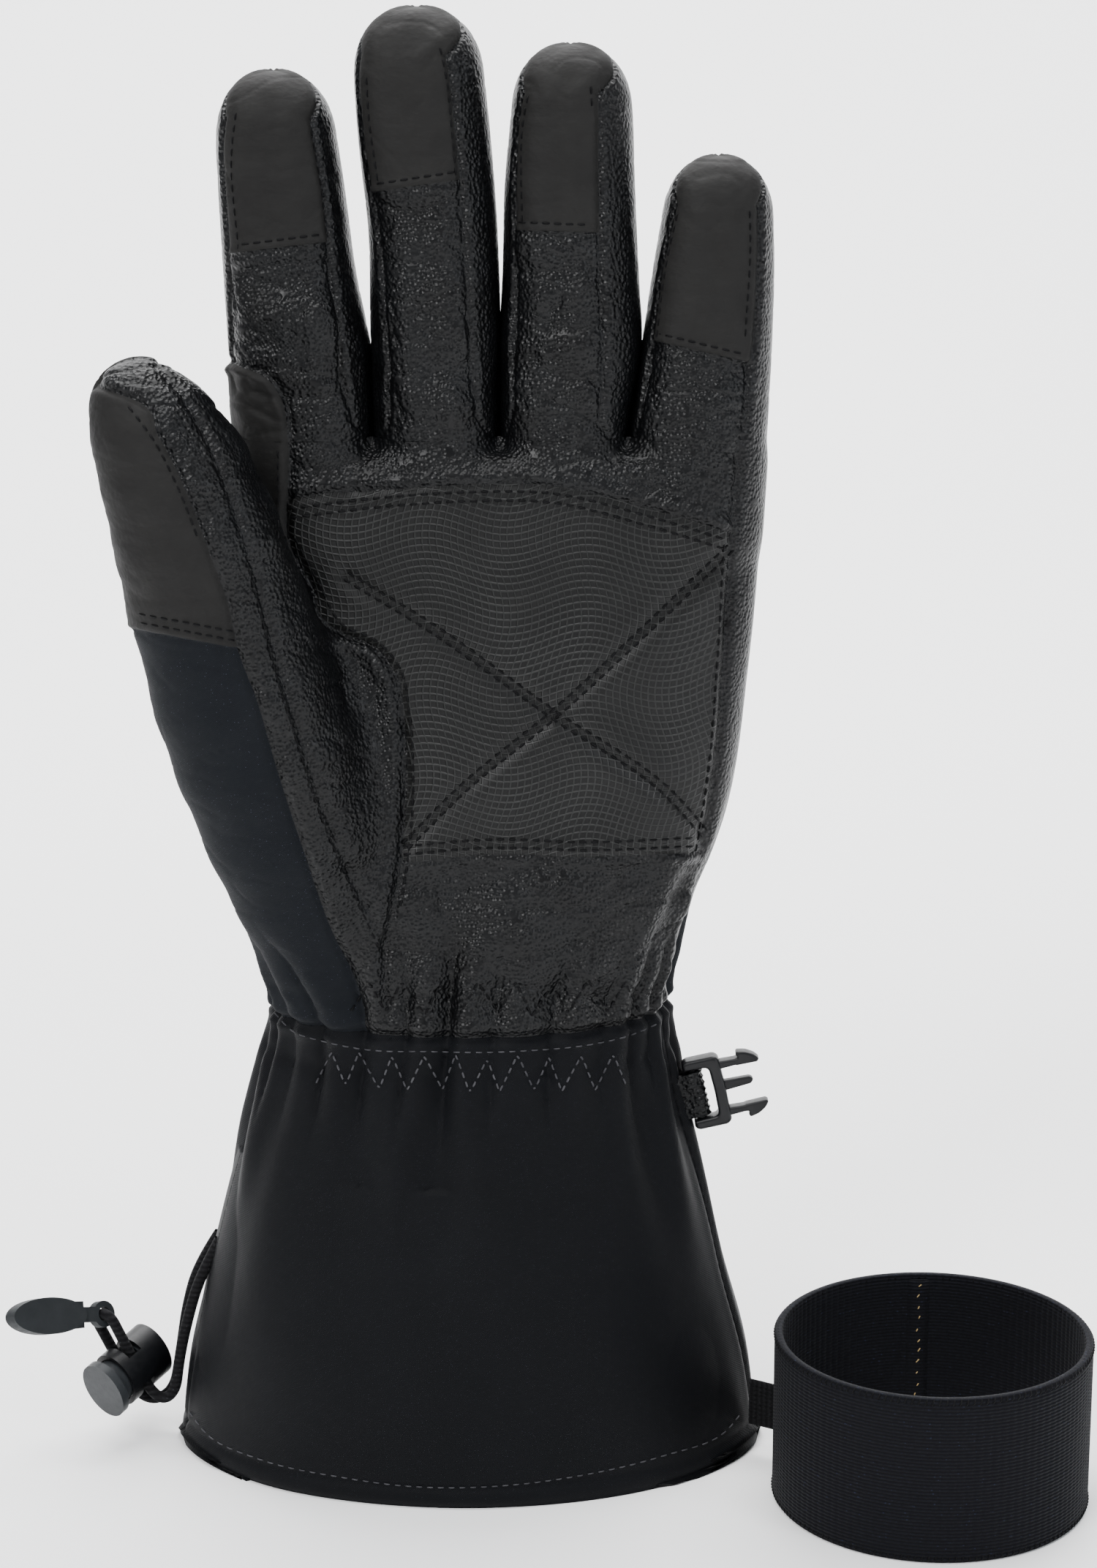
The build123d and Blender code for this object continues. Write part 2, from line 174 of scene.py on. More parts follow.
def woven(name, dark, pale, fleck, roughness, shine, thread=0.45, fleck_share=0.12, sheen=0.02):
    """Close-woven stretch shell with a few paler flecks of thread."""
    look = Look(name, dark, roughness, Specular_IOR_Level=shine, Sheen_Weight=sheen, Sheen_Roughness=0.5)
    flecks = look.cells(0.9)
    base = look.colours(look.noise(14, 4), [(0.3, dark), (0.8, pale)])
    mask = look.span(flecks, fleck_share, fleck_share * 0.4)
    mix = look.node("ShaderNodeMix", {}, data_type="RGBA")
    look.tree.links.new(mask, mix.inputs["Factor"])
    look.tree.links.new(base, mix.inputs["A"])
    mix.inputs["B"].default_value = (*fleck, 1)
    colour = [socket for socket in mix.outputs if socket.type == "RGBA"][0]
    look.tree.links.new(colour, look.shader.inputs["Base Color"])
    split = look.node("ShaderNodeSeparateXYZ", {"Vector": look.place})
    across = look.math("SINE", look.math("MULTIPLY", split.outputs["X"], tau * 1000 / thread))
    along = look.math("SINE", look.math("MULTIPLY", split.outputs["Z"], tau * 1000 / thread))
    weave = look.math("MULTIPLY", across, along)
    soft = look.bump(look.noise(6, 5), 0.25, 0.6)
    look.bump(look.math("ADD", weave, look.noise(0.7, 2)), 0.05, 0.5, soft)
    return look.material


def grip_look():
    """Coated leather printed with a wavy grid of raised pale lines."""
    look = Look("grip_leather", (0.006, 0.006, 0.006), 0.5, Specular_IOR_Level=0.22)
    split = look.node("ShaderNodeSeparateXYZ", {"Vector": look.place})
    pitch, wave, swing = 1.5 * MM, 34.0 * MM, 1.9 * MM
    lines = []
    for one, other in (("X", "Z"), ("Z", "X")):
        turn = look.math("MULTIPLY", split.outputs[other], tau / wave)
        sway = look.math("MULTIPLY", look.math("SINE", turn), swing)
        place = look.math("DIVIDE", look.math("ADD", split.outputs[one], sway), pitch)
        share = look.math("FRACT", look.math("ADD", place, 100.0))
        off = look.math("ABSOLUTE", look.math("SUBTRACT", share, 0.5))
        lines.append(look.span(off, 0.33, 0.44))
    grid = look.math("MAXIMUM", *lines)
    worn = look.math("MULTIPLY", grid, look.span(look.noise(16, 3), 0.3, 0.7, 0.55, 1.0))
    look.paint(worn, [(0.0, (0.0025, 0.0025, 0.0025)), (1.0, (0.017, 0.0175, 0.017))])
    look.gloss(look.span(grid, 0, 1, 0.5, 0.42))
    soft = look.bump(look.noise(4, 4), 0.15, 0.5)
    look.bump(grid, 0.18, 0.9, soft)
    return look.material


def moulded(name, dark, pale, roughness, shine=0.3):
    look = Look(name, dark, roughness, Specular_IOR_Level=shine)
    look.paint(look.noise(5, 5), [(0.35, dark), (0.75, pale)])
    look.gloss(look.span(look.noise(1.2, 4), 0.3, 0.7, roughness * 0.85, roughness * 1.15))
    look.bump(look.noise(0.5, 3), 0.03, 0.6)
    return look.material


def ribbed(name, dark, pale, fleck, pitch, axis="Z"):
    """Ribbed knit or webbing: rows across it and thread flecks, with painted shade that darkens the grooves
    between the ribs and leaves the crests paler.
    """
    look = Look(name, dark, 0.85, Specular_IOR_Level=0.1, Sheen_Weight=0.02)
    split = look.node("ShaderNodeSeparateXYZ", {"Vector": look.place})
    rows = look.math("SINE", look.math("MULTIPLY", split.outputs[axis], tau * 1000 / pitch))
    tuft = look.noise(0.6, 3)
    speck = look.math("MULTIPLY", look.span(look.cells(1.3), 0.2, 0.05), look.span(rows, -1, 1))
    # painted shade: the colour follows the rib rows, darker in the grooves and paler on the crests, like the
    # bump's height
    value = look.math("ADD", look.math("MULTIPLY", look.span(rows, -1, 1), look.span(tuft, 0.2, 0.8)), speck)
    look.paint(value, [(0.0, dark), (0.7, pale), (1.0, fleck)])
    look.bump(look.math("ADD", rows, tuft), 0.12, 0.7)
    return look.material


BLACK = leather(
    "black_leather", (0.0008, 0.0008, 0.001), (0.0022, 0.0025, 0.003), 0.33, 0.43, 0.2,
    pebble=0.95, depth=0.3, crease=0.05)
TOUCH = leather(
    "touch_leather", (0.0085, 0.0083, 0.0081), (0.0115, 0.0113, 0.0108), 0.6, 0.75, 0.12,
    pebble=1.3, depth=0.05, crease=0.2)
SHELL = woven("softshell", (0.0035, 0.0045, 0.0062), (0.0055, 0.0065, 0.0085), (0.05, 0.055, 0.08), 0.8, 0.10)
CUFF = woven("cuff_shell", (0.0006, 0.0009, 0.0017), (0.0012, 0.0015, 0.0025), (0.014, 0.015, 0.021), 0.6, 0.095)
GRIP = grip_look()
FLEECE = woven("fleece", (0.008, 0.008, 0.009), (0.02, 0.02, 0.022), (0.04, 0.04, 0.04), 0.95, 0.1, 1.2)
ELASTIC = ribbed("elastic", (0.0015, 0.0015, 0.0025), (0.0045, 0.005, 0.0075), (0.012, 0.015, 0.03), 0.8)
WEBBING = ribbed("webbing", (0.003, 0.003, 0.0035), (0.009, 0.009, 0.010), (0.02, 0.02, 0.022), 1.1, "X")
BRAID = ribbed("cord_braid", (0.003, 0.003, 0.0035), (0.010, 0.010, 0.011), (0.025, 0.025, 0.028), 1.2)
PLASTIC = moulded("black_plastic", (0.002, 0.0022, 0.0028), (0.004, 0.0044, 0.0055), 0.4, 0.25)
LOCK_GREY = moulded("lock_plastic", (0.016, 0.018, 0.020), (0.024, 0.0265, 0.029), 0.42, 0.25)
RUBBER = moulded("grey_rubber", (0.013, 0.015, 0.0165), (0.02, 0.0225, 0.024), 0.6, 0.15)
THREAD = moulded("seam_thread", (0.001, 0.001, 0.0013), (0.003, 0.003, 0.0036), 0.6, 0.1)
PALE_THREAD = moulded("topstitch_thread", (0.02, 0.02, 0.024), (0.045, 0.045, 0.05), 0.6)
GOLD_THREAD = moulded("gold_thread", (0.30, 0.20, 0.08), (0.5, 0.37, 0.17), 0.5)
STEEL = moulded("spring_steel", (0.4, 0.4, 0.42), (0.5, 0.5, 0.52), 0.3)
STEEL.node_tree.nodes["Principled BSDF"].inputs["Metallic"].default_value = 1.0


# ---- making pieces ----
def keep_piece(name, data, material, body, slot, replaced=(), solid=0.0):
    piece = bpy.data.objects.new(name, data)
    bpy.context.scene.collection.objects.link(piece)
    data.materials.append(material)
    if solid:
        wall = piece.modifiers.new("wall", "SOLIDIFY")
        wall.thickness = solid * MM
        wall.offset = -1
    if body:
        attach(piece, body)
    if replaced:
        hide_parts(*replaced)
    return piece


def mesh_data(name, points, faces, smooth=True):
    data = bpy.data.meshes.new(name)
    data.from_pydata((np.asarray(points) * MM).tolist(), [], [list(map(int, face)) for face in faces])
    data.validate()
    data.polygons.foreach_set("use_smooth", [smooth] * len(data.polygons))
    data.update()
    return data


def grid_faces(rows, columns, close_rows=False, close_columns=False):
    faces = []
    for i in range(rows if close_rows else rows - 1):
        for j in range(columns if close_columns else columns - 1):
            a, b = i * columns + j, i * columns + (j + 1) % columns
            c, d = ((i + 1) % rows) * columns + (j + 1) % columns, ((i + 1) % rows) * columns + j
            faces.append((a, b, c, d))
    return faces


def curve_data(name, lines, radius, sides=2):
    """Round threads along lists of points."""
    data = bpy.data.curves.new(name, "CURVE")
    data.dimensions = "3D"
    data.bevel_depth = radius * MM
    data.bevel_resolution = sides
    for line in lines:
        spline = data.splines.new("POLY")
        spline.points.add(len(line) - 1)
        for point, place in zip(spline.points, line):
            point.co = (*(Vector(place) * MM), 1)
    return data


def as_mesh(curve):
    """The surface of a curve as a mesh; the curve itself is dropped."""
    holder = bpy.data.objects.new(curve.name, curve)
    made = bpy.data.meshes.new_from_object(holder)
    bpy.data.objects.remove(holder)
    bpy.data.curves.remove(curve)
    return made


# ---- coil spring behind the lock's plunger ----
LOCK_C, LOCK_AXIS = Vector((-78.5, -2.0, 15.8)), Vector((0.563251, 0.784088, 0.260678))
SPRING_LOW, SPRING_HIGH, SPRING_R, SPRING_WIRE = 2.7, 7.0, 2.2, 0.4  # along the lock's axis
SPRING_TURNS, SPRING_STEPS = 5, 16
lock_side = LOCK_AXIS.orthogonal().normalized()
lock_other = LOCK_AXIS.cross(lock_side)
coil = []
for k in range(SPRING_TURNS * SPRING_STEPS + 1):
    turn, share = tau * k / SPRING_STEPS, k / (SPRING_TURNS * SPRING_STEPS)
    along = SPRING_LOW + 0.25 + (SPRING_HIGH - SPRING_LOW - 0.5) * share
    coil.append(LOCK_C + LOCK_AXIS * along + (lock_side * cos(turn) + lock_other * sin(turn)) * SPRING_R)
coil_mesh = as_mesh(curve_data("lock_spring_coil", [coil], SPRING_WIRE / 2, 1))
spring = keep_piece("lock_spring_coil", coil_mesh, STEEL, "cord_lock", "spring_steel", ("cord_lock_spring",))
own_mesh(spring)

# ---- drawcord: a free loop through the lock, folded in the pull tab's eye ----
DRAWCORD = [
    (-57.8, 4.0, 46.6), (-62.8, 4.0, 38.8), (-65.6, 3.4, 28.8), (-67.1, 2.0, 18.4), (-68.9, 0.5, 8.0),
    (-76.6, -0.4, 6.8), (-83.7, -0.4, 22.2), (-86.6, -0.3, 28.0), (-82.6, -3.8, 30.0), (-80.0, -3.6, 24.0),
    (-72.9, -3.6, 8.5), (-67.9, -5.4, 10.6), (-66.8, -5.2, 19.6), (-64.6, -4.6, 29.4), (-61.6, -4.0, 39.4),
    (-57.0, -3.6, 48.0),
]
CORD_D = 2.5
cord_data = bpy.data.curves.new("drawcord_loop", "CURVE")
cord_data.dimensions = "3D"
cord_data.bevel_depth = CORD_D / 2 * MM
cord_data.bevel_resolution = 4
cord_data.resolution_u = 24
route = cord_data.splines.new("NURBS")
route.points.add(len(DRAWCORD) - 1)
for point, place in zip(route.points, DRAWCORD):
    point.co = (*(Vector(place) * MM), 1)
route.order_u = 3
route.use_endpoint_u = True
cord = keep_piece("drawcord_loop", cord_data, BRAID, "glove", "cord_braid", ("drawcord",))
NODES = frame["nodes"]


# ---- shape of the glove, as distances to smooth forms ----
def flow(z, knots, values):
    """Smooth curve through the values at rising knots, level beyond its ends."""
    knots, values = np.asarray(knots, float), np.asarray(values, float)
    slopes = np.gradient(values, knots)
    i = np.clip(np.searchsorted(knots, z) - 1, 0, len(knots) - 2)
    step = knots[i + 1] - knots[i]
    t = np.clip((z - knots[i]) / step, 0, 1)
    start = (2 * t**3 - 3 * t**2 + 1) * values[i] + (t**3 - 2 * t**2 + t) * step * slopes[i]
    return start + (3 * t**2 - 2 * t**3) * values[i + 1] + (t**3 - t**2) * step * slopes[i + 1]


def union(a, b, k):
    """Smooth union over a band k wide."""
    h = np.maximum(k - np.abs(a - b), 0) / k
    return np.minimum(a, b) - h * h * k / 4


def rounded_box(sides, n):
    """Distance to a superellipse, from pairs of an offset and a half size."""
    terms = [(np.abs(offset) / half + 1e-4, half) for offset, half in sides]
    g = sum(q**n for q, _ in terms) ** (1 / n)
    slope = g ** (1 - n) * np.sqrt(sum((q ** (n - 1) / half) ** 2 for q, half in terms))
    return (g - 1) / slope


WRIST_Z = 104.0
CUFF_WALL = 1.1
CROTCH_Z = 229.0  # where the hand ends between the fingers
FINGER_CUT_Z = 232.0
FINGER_ROOT_Z = 212.0  # the fingers round off inside the hand below this
# z, centre x, half width, half depth, squareness
TRUNK = np.array([
    (-10, -0.5, 67.2, 42.9, 2.0),
    (0, -0.6, 65.8, 42.0, 2.0),
    (22, -1.2, 63.0, 39.6, 2.0),
    (45, -2.0, 57.4, 36.4, 2.0),
    (70, -2.0, 51.0, 32.4, 2.0),
    (90, -1.0, 46.2, 29.2, 2.0),
    (104, 0.0, 43.6, 27.0, 2.1),
    (125, 2.2, 46.4, 25.0, 2.3),
    (150, 5.6, 51.2, 22.6, 2.5),
    (180, 6.6, 54.2, 19.6, 2.7),
    (205, 6.6, 56.2, 16.8, 2.8),
    (225, 6.6, 56.9, 15.2, 2.8),
    (240, 6.6, 57.0, 14.6, 2.8),
])


def trunk(x, y, z):
    centre, wide, deep, square = (flow(z, TRUNK[:, 0], TRUNK[:, i]) for i in range(1, 5))
    side = rounded_box([(x - centre, wide), (y, deep)], square)
    return -union(-side, CROTCH_Z - z, 5.0)


# z, left x, right x, half depth; then the tip's z and the length of its rounding
FINGERS = {
    "index": ([(205, -49.6, -20.4, 14.6), (232, -50.1, -19.8, 14.6), (248, -50.6, -20.2, 14.4), (266, -51.4, -23.4, 13.6),
               (284, -52.1, -25.6, 13.0), (294, -52.3, -27.0, 12.6), (308, -51.0, -29.0, 11.6)], 307.8, 13.0),
    "middle": ([(205, -19.6, 6.0, 14.2), (232, -20.2, 7.0, 14.2), (257, -20.5, 7.2, 14.0), (274, -20.6, 6.7, 13.6),
                (294, -22.5, 5.3, 13.2), (307, -23.2, 4.0, 12.8), (321, -22.5, 2.5, 11.8)], 320.8, 13.5),
    "ring": ([(205, 7.4, 33.0, 13.8), (232, 6.7, 34.8, 13.8), (252, 6.9, 37.3, 13.6), (265, 7.6, 36.6, 13.2),
              (285, 8.2, 35.6, 12.8), (300, 9.6, 35.0, 12.4), (313, 10.8, 33.6, 11.6)], 313.2, 12.5),
    "little": ([(205, 34.4, 62.4, 14.0), (226, 33.6, 63.9, 14.0), (240, 35.2, 64.6, 13.8), (252, 37.4, 65.0, 13.2),
                (266, 39.4, 65.2, 12.6), (281, 41.8, 64.6, 12.0), (290, 43.0, 63.4, 11.2)], 290.2, 12.0),
}
FINGER_SQUARE = 2.45


def finger_size(name, z):
    rows, tip, rounding = FINGERS[name]
    rows = np.array(rows)
    left, right, deep = (flow(z, rows[:, 0], rows[:, i]) for i in (1, 2, 3))
    return (left + right) / 2, (right - left) / 2, deep, tip, rounding


def finger(name, x, y, z):
    centre, wide, deep, tip, rounding = finger_size(name, z)
    over = np.maximum(z - (tip - rounding), 0) + np.maximum(FINGER_ROOT_Z - z, 0)
    return rounded_box([(x - centre, wide), (y, deep), (over, rounding)], FINGER_SQUARE)


# thumb and its base, as balls joined by cones: x, y, z, radius
THUMB = [
    (-24.0, -6.0, 106, 13.5), (-29.0, -9.5, 120, 16.2), (-33.6, -13.5, 136, 18.4), (-37.8, -17.0, 150, 19.4),
    (-42.8, -20.0, 166, 19.8), (-47.2, -22.0, 180, 19.4), (-52.6, -24.8, 200, 18.0), (-55.6, -27.0, 214, 17.2),
    (-59.4, -28.6, 227, 15.6), (-63.4, -29.2, 236, 13.4), (-66.4, -29.2, 241.5, 10.4),
]
THUMB_PLANE = (np.array((-56.0, -27.0, 217.0)), np.array((-0.2916, -0.1153, 0.9496)))
THUMB_FLAT = 1.1  # how much wider the thumb is than it is deep


def thumb(x, y, z):
    result = None
    for a, b in zip(THUMB, THUMB[1:]):
        leg = [q - p for p, q in zip(a, b)]
        size = leg[0] ** 2 + leg[1] ** 2 + leg[2] ** 2
        t = np.clip(((x - a[0]) * leg[0] + (y - a[1]) * leg[1] + (z - a[2]) * leg[2]) / size, 0, 1)
        off = [place - start - t * run for place, start, run in zip((x, y, z), a, leg)]
        away = off[0] ** 2 + (off[1] * THUMB_FLAT) ** 2 + off[2] ** 2
        distance = np.sqrt(away + 1e-6) - (a[3] + t * leg[3])
        result = distance if result is None else union(result, distance, 1.5)
    return result


def thumb_height(x, y, z):
    origin, normal = THUMB_PLANE
    return (x - origin[0]) * normal[0] + (y - origin[1]) * normal[1] + (z - origin[2]) * normal[2]


def thumb_web(z):
    """Width of the smooth join between thumb and hand: broad below the crotch, almost none above."""
    return np.interp(z, (150, 200, 216), (9.0, 7.0, 1.0))


def hand(x, y, z):
    result = trunk(x, y, z)
    for name in FINGERS:
        result = union(result, finger(name, x, y, z), 3.0)
    return union(result, thumb(x, y, z), thumb_web(z))


def one_finger(name):
    return lambda x, y, z: union(trunk(x, y, z), finger(name, x, y, z), 3.0)


def seen(points):
    """Where a point shows on the plane y = 0, from the photograph's side."""
    scale = -EYE.y / (points[:, 1] - EYE.y)
    return EYE.x + (points[:, 0] - EYE.x) * scale, EYE.z + (points[:, 2] - EYE.z) * scale


def from_side(X, Z, curve):
    """Signed distance right of a curve given as rising (z, x) rows, and level beyond its ends."""
    curve = np.asarray(curve, float)
    place = flow(Z, curve[:, 0], curve[:, 1])
    slope = flow(Z + 0.5, curve[:, 0], curve[:, 1]) - flow(Z - 0.5, curve[:, 0], curve[:, 1])
    return (X - place) / np.sqrt(1 + slope**2)


def to_line(X, Z, points):
    """Distance to a broken line."""
    best = np.full(np.shape(X), 1e9)
    for (ax, az), (bx, bz) in zip(points, points[1:]):
        dx, dz = bx - ax, bz - az
        t = np.clip(((X - ax) * dx + (Z - az) * dz) / (dx * dx + dz * dz), 0, 1)
        best = np.minimum(best, np.hypot(X - ax - t * dx, Z - az - t * dz))
    return best


def ripple(points, size, seed, stretch=(1, 1, 1), count=20):
    """Repeatable soft noise with waves about this size, about one unit high."""
    rng = np.random.default_rng(seed)
    heading = rng.normal(size=(count, 3))
    heading /= np.linalg.norm(heading, axis=1)[:, None]
    speed = rng.uniform(0.65, 1.4, count) * tau / size
    phase = rng.uniform(0, tau, count)
    waves = (points * np.array(stretch)) @ heading.T * speed + phase
    return np.sin(waves).sum(axis=1) / np.sqrt(count / 2)


def line(distance, width):
    return np.exp(-((distance / width) ** 2))


def step(value, width):
    return 1 / (1 + np.exp(-np.clip(value / width, -30, 30)))


# ---- skins ----
SLIVER = 1e-5  # faces smaller than this are left out


class Skin:
    """Triangles with values at their corners that pieces are cut along."""

    def __init__(self, points, faces, values):
        self.points, self.faces, self.values = points, faces, values

    def where(self, key, sign=1):
        """The part where a value is above zero, or below it for sign -1, cut exactly at zero."""
        f = self.values[key] * sign
        inside = f > 0
        count = inside[self.faces].sum(axis=1)
        mixed = self.faces[(count == 1) | (count == 2)]
        one = count[(count == 1) | (count == 2)] == 1
        lone = np.argmax(inside[mixed] == one[:, None], axis=1)
        turn = (lone[:, None] + np.arange(3)) % 3
        a, b, c = np.take_along_axis(mixed, turn, axis=1).T
        edges = np.sort(np.concatenate([np.stack([a, b], 1), np.stack([a, c], 1)]), axis=1)
        unique, index = np.unique(edges, axis=0, return_inverse=True)
        index = index.reshape(-1) + len(self.points)
        ab, ac = index[: len(a)], index[len(a) :]
        low, high = unique.T
        t = f[low] / (f[low] - f[high])
        crossings = self.points[low] + t[:, None] * (self.points[high] - self.points[low])
        points = np.concatenate([self.points, crossings])
        values = {k: np.concatenate([v, v[low] + t * (v[high] - v[low])]) for k, v in self.values.items()}
        faces = np.concatenate([
            self.faces[count == 3],
            np.stack([a[one], ab[one], ac[one]], 1),
            np.stack([ab[~one], b[~one], c[~one]], 1),
            np.stack([ab[~one], c[~one], ac[~one]], 1),
        ])
        used, fresh = np.unique(faces, return_inverse=True)
        return Skin(points[used], fresh.reshape(-1, 3), {k: v[used] for k, v in values.items()})

    def piece(self, name, material, body, slot, replaced=(), solid=0.0):
        a, b, c = (self.points[self.faces[:, i]] for i in range(3))
        area = np.linalg.norm(np.cross(b - a, c - a), axis=1)
        data = mesh_data(name, self.points, self.faces[area > SLIVER])
        return keep_piece(name, data, material, body, slot, replaced, solid)

    def tree(self):
        return BVHTree.FromPolygons(self.points.tolist(), self.faces.tolist())


def gradient(form, points, reach=0.25):
    result = np.empty_like(points)
    for axis in range(3):
        shift = np.zeros(3)
        shift[axis] = reach
        result[:, axis] = (form(*(points + shift).T) - form(*(points - shift).T)) / (2 * reach)
    return result


def skin(form, low, high, size):
    """The surface of a form inside a box, and its normals."""
    axes = [np.arange(a, b + size, size) for a, b in zip(low, high)]
    x, y, z = axes[0][:, None, None], axes[1][None, :, None], axes[2][None, None, :]
    values = np.ascontiguousarray(np.broadcast_to(form(x, y, z), [len(a) for a in axes]).astype(np.float32))
    grid = openvdb.FloatGrid(10.0)
    grid.copyFromArray(values)
    grid.transform = openvdb.createLinearTransform(voxelSize=size)
    points, triangles, quads = grid.convertToPolygons(0.0, 0.0)
    points = points.astype(float) + np.array(low)
    faces = np.concatenate([triangles, quads[:, [0, 1, 2]], quads[:, [0, 2, 3]]]).astype(int)
    for _ in range(2):
        slope = gradient(form, points)
        length = (slope**2).sum(axis=1)
        points = points - (form(*points.T) / np.maximum(length, 0.2))[:, None] * slope
    normals = gradient(form, points)
    normals /= np.linalg.norm(normals, axis=1)[:, None]
    a, b, c = (points[faces[:, i]] for i in range(3))
    facing = (np.cross(b - a, c - a) * normals[faces[:, 0]]).sum(axis=1).mean()
    if facing < 0:
        faces = faces[:, ::-1]
    return points, faces, normals


# ---- seams of the hand, as (z, x) where they show on the plane y = 0 ----
PALM_RIGHT = [
    (99, 43.6), (114, 46.0), (130, 49.8), (138, 51.5), (155.5, 54), (183.2, 55.9), (209.6, 57), (224, 58.1),
    (233, 58.7),
]
PALM_LEFT = [
    (99, -18.4), (116, -19), (125.8, -17), (136.5, -15.3), (155.5, -13.9), (169.4, -14.6), (179.8, -16.7),
    (185, -21.4), (188, -28.1), (198.3, -33.9), (208.5, -39), (219.4, -38.8), (231.1, -38.6), (239.3, -40.1),
    (244, -43.8), (247, -50.7),
]
STRIP_LEFT = [
    (100.5, -23.7), (105.7, -24.9), (120.1, -30.9), (138.3, -36.7), (156.2, -42), (173.2, -46.5), (183.2, -50),
    (194.9, -52.3), (204.8, -55.7), (217.5, -60.1), (230.7, -66.2), (239.3, -72.3), (241.5, -78.8),
]
STRIP_RIGHT = [
    (99.2, -18.4), (116.3, -19.1), (130.6, -25.2), (147.2, -31.7), (165, -36.9), (179.5, -41), (192.5, -43.9),
    (204.3, -46.8), (216.2, -50.5), (227.8, -54.6), (237.1, -59.3), (246.1, -65.9),
]
PATCH_TOP = [
    (-39.5, 216.4), (-38.8, 216.7), (-21, 218.9), (-1, 220.3), (18.8, 220), (38.7, 215.2), (57, 209.6),
    (60, 208.4),
]
PATCH_LOW = [(-16, 136.2), (-14.5, 136.1), (5.3, 137.6), (25.6, 137), (50.9, 138), (54, 138)]
CROSS_A = [(56.8, 206.6), (38.9, 188.8), (18.5, 169.4), (-1.4, 152.7), (-14.4, 139.3)]
CROSS_B = [(-26.5, 200.4), (-8, 188.8), (18.5, 169.4), (44, 151.4), (52.1, 142.2)]
THUMB_CAP_Z, THUMB_CAP_X, THUMB_CAP_LEAN = 184.4, -50.6, 0.196
GATHERS = 27  # folds round the wrist


def thumb_centre(z):
    rows = np.array(THUMB)
    return flow(z, rows[:, 2], rows[:, 0]), flow(z, rows[:, 2], rows[:, 1])


def thumb_values(points):
    """What cuts the thumb and its base into cap or shell, strip and pad."""
    X, Z = seen(points)
    x, y, z = points.T
    centre_x, centre_y = thumb_centre(z)
    front = y < centre_y
    left = np.where(front, -from_side(X, Z, STRIP_LEFT), centre_x + 4 - x)
    right = np.where(front, from_side(X, Z, STRIP_RIGHT), x - centre_x - 4)
    return {
        "outer": left,
        "pad": right,
        "cap": Z - (THUMB_CAP_Z + (THUMB_CAP_X - X) * THUMB_CAP_LEAN),
    }


def thumb_relief(points, values, near):
    """Seams, the cap's folded edge and creases on the thumb; near is 1 on the thumb and 0 away from it."""
    front = values["front"]
    relief = -0.75 * line(values["outer"], 0.9) * near - 0.75 * line(values["pad"], 0.9) * near * front
    puff = 0.7 * line(values["outer"] + 3.2, 2.4) + 0.5 * line(values["pad"] - 3.2, 2.6)
    relief = relief + puff * near * front * 0.6
    on_cap = step(values["outer"], 0.4) * near
    folded = 0.25 * line(values["cap"] - 0.6, 0.6) - 0.3 * line(values["cap"] + 0.5, 0.5)
    relief = relief + on_cap * (0.4 * step(values["cap"], 0.3) + folded)
    crease = 0.35 * line(ripple(points, 15, 31, (0.5, 0.5, 1.5)), 0.22)
    crease = crease + 0.15 * line(ripple(points, 9, 32, (1.2, 1.2, 1.2)), 0.2)
    return relief - crease * near * (1 - 0.6 * on_cap)


# ---- hand and cuff ----
points, faces, normals = skin(hand, (-82, -50, -4), (70, 46, 236), FINE)
x, y, z = points.T
X, Z = seen(points)
centre, wide, deep, _ = (flow(z, TRUNK[:, 0], TRUNK[:, i]) for i in range(1, 5))
angle = np.arctan2(y / deep, (x - centre) / wide)
to_hand = np.minimum(trunk(x, y, z), np.minimum.reduce([finger(n, x, y, z) for n in FINGERS]))
to_thumb = thumb(x, y, z)
values = thumb_values(points)
palm_left = from_side(X, Z, PALM_LEFT)
palm_right = from_side(X, Z, PALM_RIGHT)
patch_top = flow(X, *np.array(PATCH_TOP).T) - Z
patch_low = Z - flow(X, *np.array(PATCH_LOW).T)
front = step(-y - 1, 1.0)
on_thumb = step(to_hand - to_thumb - 0.5, 0.8)
values.update({
    "hem": z,
    "wrist": z - WRIST_Z,
    "top": FINGER_CUT_Z - z,
    "hand": np.maximum(-thumb_height(x, y, z), to_thumb - to_hand),
    "cuff_back": y + 6,
    "back": np.where(x < -8, y + 3, y - 7.5 * np.clip((z - 128) / 30, 0, 1) + 2),
    "side": palm_right,
    "left": -palm_left,
    "crotch": np.minimum(z - 207, to_thumb - to_hand),
    "patch": np.minimum(np.minimum(patch_top, patch_low), np.minimum(palm_left - 0.3, -palm_right - 0.4)),
    "front": front,
})
below = z - WRIST_Z
swing = 1.5 * np.sin(3 * angle + 1) + 1.1 * np.sin(5 * angle + 2.2) + 0.02 * below * np.sin(2 * angle)
folds = np.sin(GATHERS * angle + swing)
uneven = 0.65 + 0.35 * np.sin(7 * angle + 0.6) * np.sin(4 * angle + 2)
puffs = np.abs(np.sin((GATHERS * angle + swing) / 2)) ** 0.7 - 0.62
gather = line(z - 112, 10) + 0.95 * line(z - 93, 10)
relief = (0.4 * folds + 3.8 * puffs) * uneven * gather
long_folds = np.sin(13 * angle + swing * 0.7 + 0.5) * (0.5 + 0.5 * np.sin(5 * angle + 4))
relief = relief + 1.7 * long_folds * (line(z - 80, 19) + 0.55 * line(z - 130, 15))
for gathered_z in (111.5, 95):
    relief = relief - 0.7 * line(z - gathered_z, 2.0) * (1 - folds) / 2
relief = relief - 1.1 * line(below, 1.1) + 0.5 * line(below - 2.2, 1.4)
relief = relief + 0.4 * line(below + 2.0, 1.2)
relief = relief + 1.3 * ripple(points, 50, 3, (1, 1, 0.5)) * line(z - 45, 38) * (z < WRIST_Z)
relief = relief - 0.45 * line(z - 5, 0.8) - 0.9 * line(z + 0.2, 0.9) + 0.25 * line(z - 2.5, 1.6)
